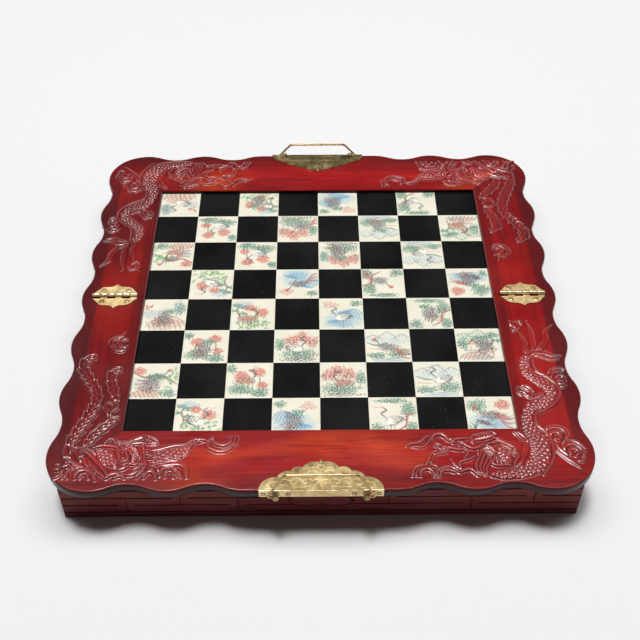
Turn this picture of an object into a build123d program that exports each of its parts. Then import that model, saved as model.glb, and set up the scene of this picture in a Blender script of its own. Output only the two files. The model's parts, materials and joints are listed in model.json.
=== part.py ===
from build123d import *

import os
from math import atan2, cos, degrees, radians

# Folding game board case, open and flat: two hinged halves with a carved frame round
# the squares, four drawers and two bail handles. Millimetres, +Z up. The origin is the
# middle of the underside. X runs along the fold line, and the rear half is on +Y.
# The rear half is built, and the front half mirrors it across the fold.

# ---- Driving dimensions ----

# Playing surface
SQUARE = 40.0  # pitch of the squares
SQUARES = 8  # squares along each side
TILE_JOINT = 0.6  # open joint between two tiles
TILE_THICK = 3.0
PANEL_THICK = 5.0  # board that carries the tiles
PANEL_PLAY = 0.3  # round the panel, inside the frame's rabbet
FOLD_GAP = 0.4  # between the two halves when they lie open

# Frame round the squares
FRAME_MARGIN = 57.0  # from the outer squares to the crests of the wavy edge
RECESS = 4.0  # squares below the top of the frame
SIDE_LIP = 0.5  # how far the side rails cover the outer squares
LONG_LIP = 3.0  # how far the long rails cover them
LIP_BEVEL = 0.8
CORNER_RADIUS = 37.0
RIPPLES = 3  # waves from the middle of a side to its corner
RIPPLE_DEPTH = 6.6
EDGE_UPRIGHT = 8.0  # upright part of the edge, above the undercut
UNDERCUT = 3.0  # how far the edge draws in below it

# Box below the frame
OVERHANG = 11.0  # frame past the box
BOX_HEIGHT = 37.0
WALL = 10.0
SPLIT_WALL = 8.0  # wall along the fold
FLOOR = 4.0
DIVIDER = 8.0  # wall between the two drawers of a half

# Fret of grooves on the outer faces
FRET_LINES = 4
FRET_TOP = 3.0  # first line below the top of the box
FRET_PITCH = 9.2
GROOVE_WIDTH = 1.2
GROOVE_DEPTH = 1.2
TICK_BREAK = 6.5  # bare wood each side of a tick, on the line that it crosses
TICK_FOOT = 1.6  # half width of the small arrow where a tick ends
CARTOUCHE = 23.0  # half length of the cloud in the middle of a long wall
CARTOUCHE_SWELL = 3.6  # rise of each of its lobes
# Ticks as (place along the half wall, line that it hangs from)
LONG_TICKS = ((-0.75, 1), (-0.54, 0), (-0.32, 1), (0.26, 0), (0.58, 1), (0.82, 0))
END_TICKS = ((-0.80, 1), (-0.50, 0), (-0.20, 1))

# Drawers
END_STILE = 14.0  # end wall on each side of a drawer
END_RAIL = 5.0  # end wall above a drawer
DRAWER_PLAY = 0.4  # round a drawer front, and under the tray
TRAY_WALL = 5.0
TRAY_BOTTOM = 3.0
TRAY_BACK_GAP = 4.0  # from a closed tray to the divider
TRAY_HEADROOM = 6.0  # above a tray
LINING_THICK = 1.2
LINING_PLAY = 0.2
GUIDE_PLAY = 0.4  # between a tray and its guides
GUIDE_HEIGHT = 10.0
KNOB_NECK = 1.9  # half width of its square neck
KNOB_HEAD = 3.0  # radius
KNOB_HEAD_START = 5.0  # head out from the drawer front
KNOB_HEAD_THICK = 3.0

# Handle plates, bent over the frame's edge
PLATE_LENGTH = 96.0
PLATE_DEPTH = 30.0  # from the bend to the tip of the scallops
PLATE_FLANGE = 7.5  # part that hangs down the edge
PLATE_THICK = 0.8
PLATE_ROUND = 0.6
LOBE_DEPTH = 2.2
# Cusps between the lobes, as shares of the half length and of the depth
CUSPS = ((0.715, 0.43), (0.49, 0.63), (0.295, 0.74), (0.055, 0.92))

# Bails and the posts that carry them
POST_INSET = 13.0  # end of the plate to the middle of a post
POST_DROP = 4.0  # pivot below the top of the plate
POST_REACH = 2.8  # pivot out from the plate
POST_NECK = 1.9  # half width of its square neck
POST_HEAD = 2.4  # radius
POST_HEAD_START = 1.5  # head out from the pivot
POST_HEAD_THICK = 1.4
BAIL_WIRE = 1.1  # radius
BAIL_PLAY = 0.05
BAIL_END = 0.6  # wire past the far side of a post
BAIL_SPREAD = 6.4  # how far the legs stand outside the posts
BAIL_DRAW = 13.4  # how far each leg leans in, from its foot to the grip
BAIL_LEG = 20.0  # pivot to grip
BAIL_LEAN = 108.0  # degrees from straight out, where the legs rest on the plate

# Hinges
HINGE_LENGTH = 41.0
HINGE_INSET = 30.5  # crest of the edge to the middle of the hinge
KNUCKLES = 3
KNUCKLE_RADIUS = 1.85
KNUCKLE_GAP = 0.15
KNUCKLE_LIFT = 0.15  # barrel above the frame
PIN_RADIUS = 0.8
PIN_PLAY = 0.05
LEAF_THICK = 0.9
LEAF_START = 2.2  # leaf from the hinge axis
LEAF_SHOULDER = 12.0  # broad part of the leaf
LEAF_TIP = 15.7
LEAF_TAPER = 0.64  # shoulder as a share of the half length
TIP_NECK = 0.2  # foot of the tip as a share of the half length

# ---- Places worked out from them ----

BOARD_HALF = SQUARE * SQUARES / 2
FRAME_HALF = BOARD_HALF + FRAME_MARGIN
FRAME_THICK = PANEL_THICK + TILE_THICK + RECESS
FRAME_TOP = BOX_HEIGHT + FRAME_THICK
TILE_TOP = FRAME_TOP - RECESS
TILE_BOTTOM = TILE_TOP - TILE_THICK
LAST_CREST = FRAME_HALF - CORNER_RADIUS
RIPPLE_PITCH = LAST_CREST / RIPPLES
OPEN_X = BOARD_HALF - SIDE_LIP
OPEN_Y = BOARD_HALF - LONG_LIP
SPLIT = FOLD_GAP / 2
BOX_HALF = FRAME_HALF - OVERHANG
BOX_INNER = BOX_HALF - WALL
CAVITY_START = SPLIT + SPLIT_WALL
AXIS_Z = FRAME_TOP + KNUCKLE_LIFT + KNUCKLE_RADIUS
PLATE_FACE = FRAME_HALF + PLATE_THICK
PLATE_TOP = FRAME_TOP + PLATE_THICK
POST_X = PLATE_LENGTH / 2 - POST_INSET
PIVOT_Y = PLATE_FACE + POST_REACH
PIVOT_Z = PLATE_TOP - POST_DROP
HINGE_X = FRAME_HALF - HINGE_INSET
DRAWER_Y = (SPLIT + END_STILE, BOX_HALF - END_STILE)
DRAWER_Z = (FLOOR, BOX_HEIGHT - END_RAIL)
DRAWER_MID = (sum(DRAWER_Y) / 2, sum(DRAWER_Z) / 2)
FOLD_PLANE = Plane.XZ
SIDE_PLANE = Plane.YZ
DIAGONAL_PLANE = Plane((0, 0, 0), z_dir=(1, -1, 0))


def block(x, y, z):
    """Box between two limits on each axis."""
    size = [abs(high - low) for low, high in (x, y, z)]
    middle = [(low + high) / 2 for low, high in (x, y, z)]
    return Pos(*middle) * Box(*size)


def rod(radius, length, start, direction):
    """Cylinder from a point along a direction."""
    return extrude(Plane(start, z_dir=direction) * Circle(radius), length)


def stud(neck, length, head, thick):
    """Square neck with a round head, along +Z from its foot."""
    shank = Pos(0, 0, length / 2) * Box(2 * neck, 2 * neck, length)
    return shank + Pos(0, 0, length + thick / 2) * Cylinder(head, thick)


def flipped(node, plane):
    """The solids of a node, mirrored across a plane."""
    return Compound(children=[solid.mirror(plane) for solid in node.solids()])


def bedded(carrier, pieces):
    """Carrier with the holes that its own pieces sit in."""
    for piece in pieces:
        carrier = carrier - piece
    return carrier


# ---- Frame ----


def quarter_waves(first):
    """Wavy edge on +Y, from crest number first to the last crest before the corner."""
    quarter = RIPPLE_PITCH / 4
    start = first * RIPPLE_PITCH
    slope = FRAME_HALF - RIPPLE_DEPTH / 2
    edges = [TangentArc((start, FRAME_HALF), (start + quarter, slope), tangent=(1, 0))]
    turns = 2 * (RIPPLES - first) - 1
    for turn in range(turns):
        middle = start + 2 * quarter * (turn + 1)
        peak = FRAME_HALF - RIPPLE_DEPTH * (turn % 2 == 0)
        edges.append(ThreePointArc((middle - quarter, slope), (middle, peak), (middle + quarter, slope)))
    last = TangentArc((LAST_CREST, FRAME_HALF), (LAST_CREST - quarter, slope), tangent=(-1, 0))
    return edges + [last]


def frame_outline():
    """Outline of the whole frame, straight behind the handle plates."""
    behind_plate = Line((0, FRAME_HALF), (RIPPLE_PITCH, FRAME_HALF))
    side_edge = [edge.mirror(DIAGONAL_PLANE) for edge in quarter_waves(0)]
    diagonal = LAST_CREST + CORNER_RADIUS * cos(radians(45))
    corner = ThreePointArc((LAST_CREST, FRAME_HALF), (diagonal, diagonal), (FRAME_HALF, LAST_CREST))
    quarter = [behind_plate] + quarter_waves(1) + [corner] + side_edge
    half = quarter + [edge.mirror(SIDE_PLANE) for edge in quarter]
    return make_face(Wire(half + [edge.mirror(FOLD_PLANE) for edge in half]))


def frame_slab():
    """Whole frame before the opening, the mitres and the fold are cut."""
    undercut_top = FRAME_TOP - EDGE_UPRIGHT
    outline = Pos(0, 0, undercut_top) * frame_outline()
    slope = atan2(UNDERCUT, undercut_top - BOX_HEIGHT)
    return extrude(outline, EDGE_UPRIGHT) + extrude(outline, BOX_HEIGHT - undercut_top, taper=degrees(slope))


def frame_rails():
    """Mitred rails of the rear half: the long one, and the one on +X."""
    slab = frame_slab()
    rabbet = block(
        (-BOARD_HALF - PANEL_PLAY, BOARD_HALF + PANEL_PLAY),
        (-BOARD_HALF, BOARD_HALF + PANEL_PLAY),
        (0, TILE_TOP),
    )
    run = FRAME_MARGIN + FRAME_HALF - BOARD_HALF
    mitre = (OPEN_X + run, OPEN_Y + run)
    long_plan = [(-OPEN_X, OPEN_Y), (OPEN_X, OPEN_Y), mitre, (-mitre[0], mitre[1])]
    side_plan = [(OPEN_X, SPLIT), (OPEN_X, OPEN_Y), mitre, (mitre[0], SPLIT)]
    rails = []
    for plan in (long_plan, side_plan):
        prism = extrude(make_face(Polyline(*plan, close=True)), FRAME_TOP)
        rail = (slab & prism) - rabbet
        lip = rail.edges().filter_by_position(Axis.Z, FRAME_TOP, FRAME_TOP)
        along = Axis.X if plan is long_plan else Axis.Y
        across = Axis.Y if plan is long_plan else Axis.X
        rails.append(chamfer(lip.filter_by(along).sort_by(across)[0], LIP_BEVEL))
    return rails


# ---- Board ----


def tile(column, row):
    """One square tile, counted from the left front corner of the board."""
    middle = [(place + 0.5) * SQUARE - BOARD_HALF for place in (column, row)]
    side = SQUARE - TILE_JOINT
    return Pos(*middle, (TILE_TOP + TILE_BOTTOM) / 2) * Box(side, side, TILE_THICK)


def tiles(rows, shade):
    """Tiles of one shade on some rows. The left front corner square is shade 0."""
    return Compound(children=[
        tile(column, row) for row in rows for column in range(SQUARES)
        if (column + row) % 2 == shade
    ])


# ---- Box ----


def arrow(place, height):
    """Small arrow-shaped cut where a tick meets its last line, on a wall on +Y."""
    outline = [(place - TICK_FOOT, height), (place + TICK_FOOT, height), (place, height + TICK_FOOT)]
    face = Plane((0, BOX_HALF - GROOVE_DEPTH, 0), x_dir=(1, 0, 0), z_dir=(0, -1, 0))
    return extrude(face * make_face(Polyline(*outline, close=True)), -2 * GROOVE_DEPTH)


def cartouche():
    """Groove round the cloud in the middle of a long wall on +Y."""
    low, high = [BOX_HEIGHT - FRET_TOP - line * FRET_PITCH for line in (2, 1)]
    face = Plane((0, BOX_HALF - GROOVE_DEPTH, 0), x_dir=(1, 0, 0), z_dir=(0, -1, 0))
    point = (CARTOUCHE + CARTOUCHE_SWELL, (low + high) / 2)
    edges = [
        SagittaArc((0, low), (CARTOUCHE, low), -CARTOUCHE_SWELL),
        Line((CARTOUCHE, low), point),
        Line(point, (CARTOUCHE, high)),
        SagittaArc((CARTOUCHE, high), (0, high), -CARTOUCHE_SWELL),
    ]
    cloud = make_face(Wire(edges + [edge.mirror(SIDE_PLANE) for edge in edges]))
    ring = cloud - offset(cloud, amount=-GROOVE_WIDTH, kind=Kind.INTERSECTION)
    return extrude(face * ring, -2 * GROOVE_DEPTH)


def fret(start, end, ticks, cloud):
    """Grooves of the fret on a wall on +Y, from start to end along it."""
    cut = (BOX_HALF - GROOVE_DEPTH, BOX_HALF + GROOVE_DEPTH)
    heights = [BOX_HEIGHT - FRET_TOP - line * FRET_PITCH for line in range(FRET_LINES)]
    half = GROOVE_WIDTH / 2
    cuts = []
    for line, height in enumerate(heights):
        gaps = [(place - TICK_BREAK, place + TICK_BREAK) for place, first in ticks if line == first + 1]
        if cloud and line in (1, 2):
            gaps.append((-CARTOUCHE, CARTOUCHE))
        ends = [start] + [place for gap in sorted(gaps) for place in gap] + [end]
        for low, high in zip(ends[::2], ends[1::2]):
            cuts.append(block((low, high), cut, (height - half, height + half)))
    for place, first in ticks:
        foot = heights[first + 2]
        cuts.append(block((place - half, place + half), cut, (foot, heights[first])))
        cuts.append(arrow(place, foot))
    return cuts + [cartouche()] if cloud else cuts


def on_end(cutter):
    """The same cut on the end wall on +X, with -X turned to +Y."""
    return Rot(0, 0, -90) * cutter


def end_fret():
    """Fret of the rear half's right end, cut over the wall and the drawer together."""
    ticks = [(place * BOX_HALF, first) for place, first in END_TICKS]
    return [on_end(cutter) for cutter in fret(-BOX_HALF, -SPLIT, ticks, False)]


def long_wall():
    wall = block((-BOX_HALF, BOX_HALF), (BOX_INNER, BOX_HALF), (0, BOX_HEIGHT))
    ticks = [(place * BOX_HALF, first) for place, first in LONG_TICKS]
    return bedded(wall, fret(-BOX_HALF, BOX_HALF, ticks, True) + end_fret() + left(end_fret()))


def left(pieces):
    """Pieces of the right side, mirrored to the left."""
    return [piece.mirror(SIDE_PLANE) for piece in pieces]


def end_wall():
    """End wall on +X, with the opening for its drawer."""
    wall = block((BOX_INNER, BOX_HALF), (SPLIT, BOX_INNER), (0, BOX_HEIGHT))
    opening = block((BOX_INNER - WALL, BOX_HALF + WALL), DRAWER_Y, DRAWER_Z)
    return bedded(wall, [opening] + end_fret())


def drawer_guides():
    """Strips on the floor that keep the two trays straight."""
    back = DIVIDER / 2
    strips = []
    for low, high in ((CAVITY_START, DRAWER_Y[0]), (DRAWER_Y[1], BOX_INNER)):
        strips.append(block((back, BOX_INNER), (low, high), (FLOOR, FLOOR + GUIDE_HEIGHT)))
    return Compound(children=strips + left(strips))


# ---- Drawers ----


def drawer_front():
    low, high = [[limits[0] + DRAWER_PLAY, limits[1] - DRAWER_PLAY] for limits in (DRAWER_Y, DRAWER_Z)]
    return bedded(block((BOX_INNER, BOX_HALF), low, high), end_fret())


def tray_limits():
    """Outside of a closed tray on +X: its limits on X, Y and Z."""
    x = (DIVIDER / 2 + TRAY_BACK_GAP, BOX_INNER)
    y = (DRAWER_Y[0] + GUIDE_PLAY, DRAWER_Y[1] - GUIDE_PLAY)
    z = (FLOOR + DRAWER_PLAY, BOX_HEIGHT - TRAY_HEADROOM)
    return x, y, z


def tray_inside(margin):
    """Limits of a tray's inside on X and Y, drawn in by a margin."""
    return [(low + TRAY_WALL + margin, high - TRAY_WALL - margin) for low, high in tray_limits()[:2]]


def tray():
    x, y, z = tray_limits()
    hollow = block(*tray_inside(0), (z[0] + TRAY_BOTTOM, z[1] + TRAY_WALL))
    return block(x, y, z) - hollow


def lining():
    """Cloth pad on the tray's bottom."""
    bottom = tray_limits()[2][0] + TRAY_BOTTOM
    return block(*tray_inside(LINING_PLAY), (bottom, bottom + LINING_THICK))


def knob():
    pull = stud(KNOB_NECK, KNOB_HEAD_START, KNOB_HEAD, KNOB_HEAD_THICK)
    return Plane((BOX_HALF, *DRAWER_MID), z_dir=(1, 0, 0)).location * pull


# ---- Handles ----


def plate_leaf():
    """Scalloped top of the rear handle plate, as a flat outline."""
    half = PLATE_LENGTH / 2
    cusps = [(half * share, PLATE_FACE - PLATE_DEPTH * depth) for share, depth in CUSPS]
    side = (half, PLATE_FACE - PLATE_DEPTH / 10)
    edges = [Line((half, PLATE_FACE), side), SagittaArc(side, cusps[0], 1.5 * LOBE_DEPTH)]
    for start, end in zip(cusps, cusps[1:]):
        edges.append(SagittaArc(start, end, LOBE_DEPTH))
    edges.append(Line(cusps[-1], (0, PLATE_FACE - PLATE_DEPTH)))
    edges += [edge.mirror(SIDE_PLANE) for edge in edges]
    return make_face(Wire(edges + [Line((-half, PLATE_FACE), (half, PLATE_FACE))]))


def handle_plate():
    """Plate bent over the edge, with two riveted posts that are bored for the ends of the bail."""
    half = PLATE_LENGTH / 2
    leaf = extrude(Pos(0, 0, FRAME_TOP) * plate_leaf(), PLATE_THICK)
    flange = block((-half, half), (FRAME_HALF, PLATE_FACE), (PLATE_TOP - PLATE_FLANGE, PLATE_TOP))
    plate = leaf + flange
    bend = plate.edges().filter_by(Axis.X).group_by(Axis.Z)[-1].sort_by(Axis.Y)[-1]
    plate = fillet(bend, PLATE_ROUND)
    post = stud(POST_NECK, POST_REACH + POST_HEAD_START, POST_HEAD, POST_HEAD_THICK)
    for x in (-POST_X, POST_X):
        plate += Plane((x, PLATE_FACE, PIVOT_Z), z_dir=(0, 1, 0)).location * post
    bore = rod(BAIL_WIRE + BAIL_PLAY, PLATE_LENGTH, (-half, PIVOT_Y, PIVOT_Z), (1, 0, 0))
    return plate - bore


def bail():
    """Wire handle: a straight grip, and two splayed legs that hook into the posts."""
    foot = POST_X + BAIL_SPREAD
    end = POST_X - POST_NECK - BAIL_END
    half = [(end, 0), (foot, 0), (foot - BAIL_DRAW, BAIL_LEG)]
    path = Polyline(*half, *[(-x, y) for x, y in reversed(half)])
    wire = sweep(
        Plane((end, 0, 0), z_dir=(1, 0, 0)) * Circle(BAIL_WIRE), path=path, transition=Transition.RIGHT
    )
    return Pos(0, PIVOT_Y, PIVOT_Z) * Rot(BAIL_LEAN, 0, 0) * wire


# ---- Hinges ----


def leaf_outline():
    """Rear leaf of the right hinge, about its own middle: shouldered, with a pointed tip."""
    half = HINGE_LENGTH / 2
    shoulder = (half * LEAF_TAPER, LEAF_SHOULDER)
    foot = (half * TIP_NECK, LEAF_SHOULDER + LEAF_THICK / 2)
    side = [(half, LEAF_START), (half, 1.5 * LEAF_START), shoulder, foot]
    other_side = [(-x, y) for x, y in reversed(side)]
    return make_face(Polyline(*side, (0, LEAF_TIP), *other_side, close=True))


def leaf(first):
    """Leaf on +Y with every other knuckle, from number first on."""
    plate = extrude(Pos(0, 0, FRAME_TOP) * leaf_outline(), LEAF_THICK)
    length = HINGE_LENGTH / KNUCKLES
    for number in range(first, KNUCKLES, 2):
        low = number * length - HINGE_LENGTH / 2 + KNUCKLE_GAP / 2
        high = low + length - KNUCKLE_GAP
        plate += block((low, high), (SPLIT, LEAF_START), (FRAME_TOP, FRAME_TOP + LEAF_THICK))
        plate += rod(KNUCKLE_RADIUS, high - low, (low, 0, AXIS_Z), (1, 0, 0))
    bore = rod(PIN_RADIUS + PIN_PLAY, 2 * HINGE_LENGTH, (-HINGE_LENGTH, 0, AXIS_Z), (1, 0, 0))
    return plate - bore


def pin():
    """Hinge pin, as long as the barrel."""
    return rod(PIN_RADIUS, HINGE_LENGTH, (-HINGE_LENGTH / 2, 0, AXIS_Z), (1, 0, 0))


# ---- The whole case ----


def rear_half():
    """Nodes of the rear half, its handle and its drawers, without tiles and hinges."""
    long_rail, right_rail = frame_rails()
    half = {
        "rail": long_rail,
        "right_rail": right_rail,
        "left_rail": flipped(right_rail, SIDE_PLANE),
        "board_panel": block(
            (-BOARD_HALF, BOARD_HALF), (SPLIT, BOARD_HALF), (BOX_HEIGHT, TILE_BOTTOM)
        ),
        "wall": long_wall(),
        "split_wall": block((-BOX_INNER, BOX_INNER), (SPLIT, CAVITY_START), (0, BOX_HEIGHT)),
        "floor": block((-BOX_INNER, BOX_INNER), (CAVITY_START, BOX_INNER), (0, FLOOR)),
        "divider": block(
            (-DIVIDER / 2, DIVIDER / 2), (CAVITY_START, BOX_INNER), (FLOOR, BOX_HEIGHT)
        ),
        "drawer_guides": drawer_guides(),
        "right_end": end_wall(),
        "left_end": flipped(end_wall(), SIDE_PLANE),
        "handle_plate": handle_plate(),
        "bail": bail(),
    }
    drawer = {
        "drawer_front": drawer_front(),
        "drawer_tray": tray(),
        "drawer_lining": lining(),
        "drawer_knob": knob(),
    }
    for name, piece in drawer.items():
        half["right_" + name] = piece
        half["left_" + name] = flipped(piece, SIDE_PLANE)
    return half


def hinge_nodes():
    """Leaves and pins of both hinges. The rear leaves have the outer knuckles."""
    rear_leaf = leaf(0)
    front_leaf = flipped(leaf(1), FOLD_PLANE)
    nodes = {}
    for side, name in ((-1, "left"), (1, "right")):
        for piece, kind in ((rear_leaf, "rear_leaf"), (front_leaf, "front_leaf"), (pin(), "pin")):
            nodes[f"{name}_hinge_{kind}"] = Pos(side * HINGE_X, 0, 0) * piece
    return nodes


def case_nodes():
    """Every node of the case by name."""
    nodes = hinge_nodes()
    for name, piece in rear_half().items():
        nodes["rear_" + name] = piece
        nodes["front_" + name] = flipped(piece, FOLD_PLANE)
    middle = SQUARES // 2
    for half, rows in (("front", range(middle)), ("rear", range(middle, SQUARES))):
        nodes[half + "_black_tiles"] = tiles(rows, 0)
        nodes[half + "_picture_tiles"] = tiles(rows, 1)
    return nodes


os.makedirs("parts", exist_ok=True)
for node, solid in case_nodes().items():
    export_step(solid, f"parts/{node}.step")
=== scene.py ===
import json
from math import cos, pi, radians, sin

import bmesh
import bpy
import numpy as np
from mathutils import Matrix, Vector


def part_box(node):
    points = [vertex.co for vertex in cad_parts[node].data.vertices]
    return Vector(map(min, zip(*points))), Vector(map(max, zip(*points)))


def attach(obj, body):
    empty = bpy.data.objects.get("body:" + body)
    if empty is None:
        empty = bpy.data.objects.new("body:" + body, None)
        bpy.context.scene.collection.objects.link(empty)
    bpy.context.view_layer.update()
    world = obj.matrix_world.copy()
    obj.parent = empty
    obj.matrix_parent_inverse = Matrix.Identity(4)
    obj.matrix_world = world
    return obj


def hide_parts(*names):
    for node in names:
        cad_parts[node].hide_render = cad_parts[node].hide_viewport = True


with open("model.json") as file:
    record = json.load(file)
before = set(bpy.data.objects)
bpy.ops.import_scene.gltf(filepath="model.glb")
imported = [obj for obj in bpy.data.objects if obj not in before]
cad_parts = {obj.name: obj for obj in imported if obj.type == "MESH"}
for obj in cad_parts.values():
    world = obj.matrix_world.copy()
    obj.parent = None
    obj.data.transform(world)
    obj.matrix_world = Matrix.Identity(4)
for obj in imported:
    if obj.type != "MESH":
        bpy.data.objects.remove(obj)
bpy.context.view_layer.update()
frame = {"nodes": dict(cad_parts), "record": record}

cad = frame["nodes"]

# ---- Sizes ----
# Millimetres in the row frame, scaled to metres where a mesh is made.

MM = 0.001
HALVES = ("rear", "front")
SIDES = ("left", "right")
# Which way from the middle each half lies along Y, and each side along X
WAY = {"rear": 1, "front": -1, "right": 1, "left": -1}


def edge_of(node, corner, axis):
    """One limit of a CAD node in millimetres: corner 0 is the lowest, 1 the highest."""
    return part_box(node)[corner][axis] / MM


RAIL_TOP = edge_of("rear_rail", 1, 2)
RAIL_OUT = edge_of("rear_rail", 1, 1)
TILE_TOP = edge_of("rear_black_tiles", 1, 2)
TILE_THICK = TILE_TOP - edge_of("rear_black_tiles", 0, 2)
OPEN_X = edge_of("rear_right_rail", 0, 0)
OPEN_Y = edge_of("rear_rail", 0, 1)
FLAT_WIDTH = 30.0  # Width of a rail inside its wavy rim
SHADE_END = 214.0  # Where the shading across a rail ends, from the middle
SHADE_SPAN = 220.0  # How far the shading runs each way from the middle


# ---- Materials ----


def opaque(colour):
    """Four numbers of a colour or a grey level. A socket stays as it is."""
    if isinstance(colour, bpy.types.NodeSocket):
        return colour
    return (colour,) * 3 + (1,) if isinstance(colour, (int, float)) else (*colour, 1)


class Finish:
    """A node material: short calls that add nodes and give back their sockets."""

    def __init__(self, name, roughness, metallic=0.0, coat=0.0, coat_roughness=0.1, specular=0.5):
        self.material = bpy.data.materials.new(name)
        self.material.use_nodes = True
        self.tree = self.material.node_tree
        self.shader = self.tree.nodes["Principled BSDF"]
        for socket, value in (
            ("Roughness", roughness),
            ("Metallic", metallic),
            ("Coat Weight", coat),
            ("Coat Roughness", coat_roughness),
            ("Specular IOR Level", specular),
        ):
            self.shader.inputs[socket].default_value = value

    def node(self, kind, inputs=None, output=0, **settings):
        """Adds a node. An input is a number, a colour or another node's socket."""
        made = self.tree.nodes.new("ShaderNode" + kind)
        for setting, value in settings.items():
            setattr(made, setting, value)
        for key, value in (inputs or {}).items():
            if isinstance(value, bpy.types.NodeSocket):
                self.tree.links.new(value, made.inputs[key])
            else:
                made.inputs[key].default_value = value
        return made.outputs[output]

    def place(self, scale=(1, 1, 1)):
        """Object coordinates, stretched."""
        return self.node("Mapping", {0: self.node("TexCoord", output="Object"), "Scale": scale})

    def axis(self, number):
        """One object coordinate, in millimetres."""
        return self.node("SeparateXYZ", {0: self.place((1 / MM,) * 3)}, output=number)

    def noise(self, scale, stretch=(1, 1, 1), detail=4.0, roughness=0.55, distortion=0.0):
        """Soft noise on stretched object coordinates."""
        inputs = {
            "Vector": self.place(stretch), "Scale": scale, "Detail": detail,
            "Roughness": roughness, "Distortion": distortion,
        }
        return self.node("TexNoise", inputs, output="Fac")

    def ramp(self, factor, *stops):
        """Colours or levels between places, as (place, colour) pairs."""
        socket = self.node("ValToRGB", {"Fac": factor})
        elements = socket.node.color_ramp.elements
        while len(elements) < len(stops):
            elements.new(1.0)
        for element, (place, colour) in zip(elements, stops):
            element.position = place
            element.color = opaque(colour)
        return socket

    def mix(self, factor, first, second, blend="MIX"):
        """Two colours laid over each other."""
        inputs = {0: factor, 6: opaque(first), 7: opaque(second)}
        return self.node("Mix", inputs, output=2, data_type="RGBA", blend_type=blend)

    def shaded(self, colour, level):
        """A colour multiplied by a level."""
        return self.mix(1.0, colour, level, blend="MULTIPLY")

    def maths(self, operation, first, second=0.5, clamp=False):
        """One sum of two numbers or sockets."""
        return self.node("Math", {0: first, 1: second}, operation=operation, use_clamp=clamp)

    def share(self, value, start, end):
        """Where a length lies between two others, from 0 to 1."""
        return self.maths("DIVIDE", self.maths("SUBTRACT", value, start), end - start)

    def bump(self, height, distance, strength=1.0, normal=None):
        """Fine unevenness, as a normal. The distance is in millimetres."""
        inputs = {"Height": height, "Distance": distance * MM, "Strength": strength}
        if normal:
            inputs["Normal"] = normal
        return self.node("Bump", inputs)

    def link(self, **sockets):
        """Links sockets to the shader, named with _ for a space."""
        for key, socket in sockets.items():
            self.tree.links.new(socket, self.shader.inputs[key.replace("_", " ")])


def long_rail_colour(finish, x, y, far_y):
    """Orange-red lacquer over straight grain, for the rails along the front and rear, with painted light and
    shade.
    """
    over_rail = finish.share(far_y, OPEN_Y, SHADE_END)
    grain = finish.noise(1.0, (7, 170, 60), detail=7, roughness=0.62, distortion=0.5)
    colour = finish.ramp(
        grain, (0.33, (0.24, 0.004, 0.006)), (0.46, (0.39, 0.006, 0.008)), (0.66, (0.50, 0.010, 0.009))
    )
    clouds = finish.noise(1.0, (8, 20, 10), detail=3, roughness=0.5)
    middle = finish.ramp(over_rail, (0.1, 0.0), (0.4, 0.08), (0.7, 0.0))
    across = finish.share(x, -SHADE_SPAN, SHADE_SPAN)
    left = finish.ramp(across, (0.10, 0.02), (0.25, 0.14), (0.42, 0.0), (0.60, -0.04), (0.80, 0.03))
    clouds = finish.maths("ADD", finish.maths("ADD", clouds, middle), left)
    colour = finish.mix(finish.ramp(clouds, (0.62, 0.0), (0.80, 1.0)), colour, (0.70, 0.060, 0.014))
    streaks = finish.noise(1.0, (5, 90, 60), detail=4, roughness=0.6)
    colour = finish.mix(finish.ramp(streaks, (0.58, 0.0), (0.70, 0.6)), colour, (0.20, 0.005, 0.007))
    fine = finish.noise(1.0, (30, 900, 60), detail=3, roughness=0.6)
    colour = finish.shaded(colour, finish.ramp(fine, (0.35, 0.66), (0.6, 1.04)))
    # Painted light and shade: lighter across the middle of the rail and darker towards both its edges, darker
    # towards the rear rim and towards the rear left corner
    light = finish.ramp(
        over_rail, (0.0, 0.72), (0.2, 0.85), (0.4, 1.0), (0.62, 0.88), (0.8, 0.7), (0.95, 0.6)
    )
    painted_rear_shade = finish.ramp(finish.share(y, 190.0, SHADE_END), (0.0, 1.0), (0.9, 0.72))
    to_corner = finish.share(finish.maths("SUBTRACT", y, x), 270.0, 400.0)
    painted_corner_shade = finish.ramp(to_corner, (0.0, 1.0), (0.9, 0.62))
    return finish.shaded(colour, finish.shaded(finish.shaded(light, painted_rear_shade), painted_corner_shade))


def side_rail_colour(finish, x, far_x, far_y):
    """Crimson lacquer over straight grain, for the side rails, dark on the lobes between the corners, with
    painted shade towards the rim and on the left rail.
    """
    over_rail = finish.share(far_x, OPEN_X, SHADE_END)
    grain = finish.noise(1.0, (140, 6, 60), detail=6, roughness=0.6, distortion=0.3)
    colour = finish.ramp(
        grain, (0.34, (0.15, 0.003, 0.004)), (0.50, (0.26, 0.004, 0.006)), (0.66, (0.33, 0.006, 0.007))
    )
    patches = finish.noise(1.0, (14, 9, 10), detail=2)
    colour = finish.mix(finish.ramp(patches, (0.48, 0.0), (0.68, 0.8)), colour, (0.44, 0.014, 0.009))
    # Level across the rail: a darker strip beside the opening, and painted shade towards the rim
    light = finish.ramp(over_rail, (0.0, 0.60), (0.14, 0.66), (0.18, 0.95), (0.5, 1.0), (1.0, 0.85))
    colour = finish.shaded(colour, light)
    # Painted shade: the left rail darker than the right
    across = finish.share(x, -SHADE_SPAN, SHADE_SPAN)
    colour = finish.shaded(colour, finish.ramp(across, (0.1, 0.72), (0.9, 0.96)))
    lobes = finish.ramp(over_rail, (0.76, 0.0), (0.80, 0.75), (1.0, 0.85))
    corner = finish.ramp(finish.share(far_y, 150.0, 210.0), (0.0, 1.0), (0.9, 0.1))
    return finish.mix(finish.maths("MULTIPLY", lobes, corner), colour, (0.075, 0.004, 0.007))


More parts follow.
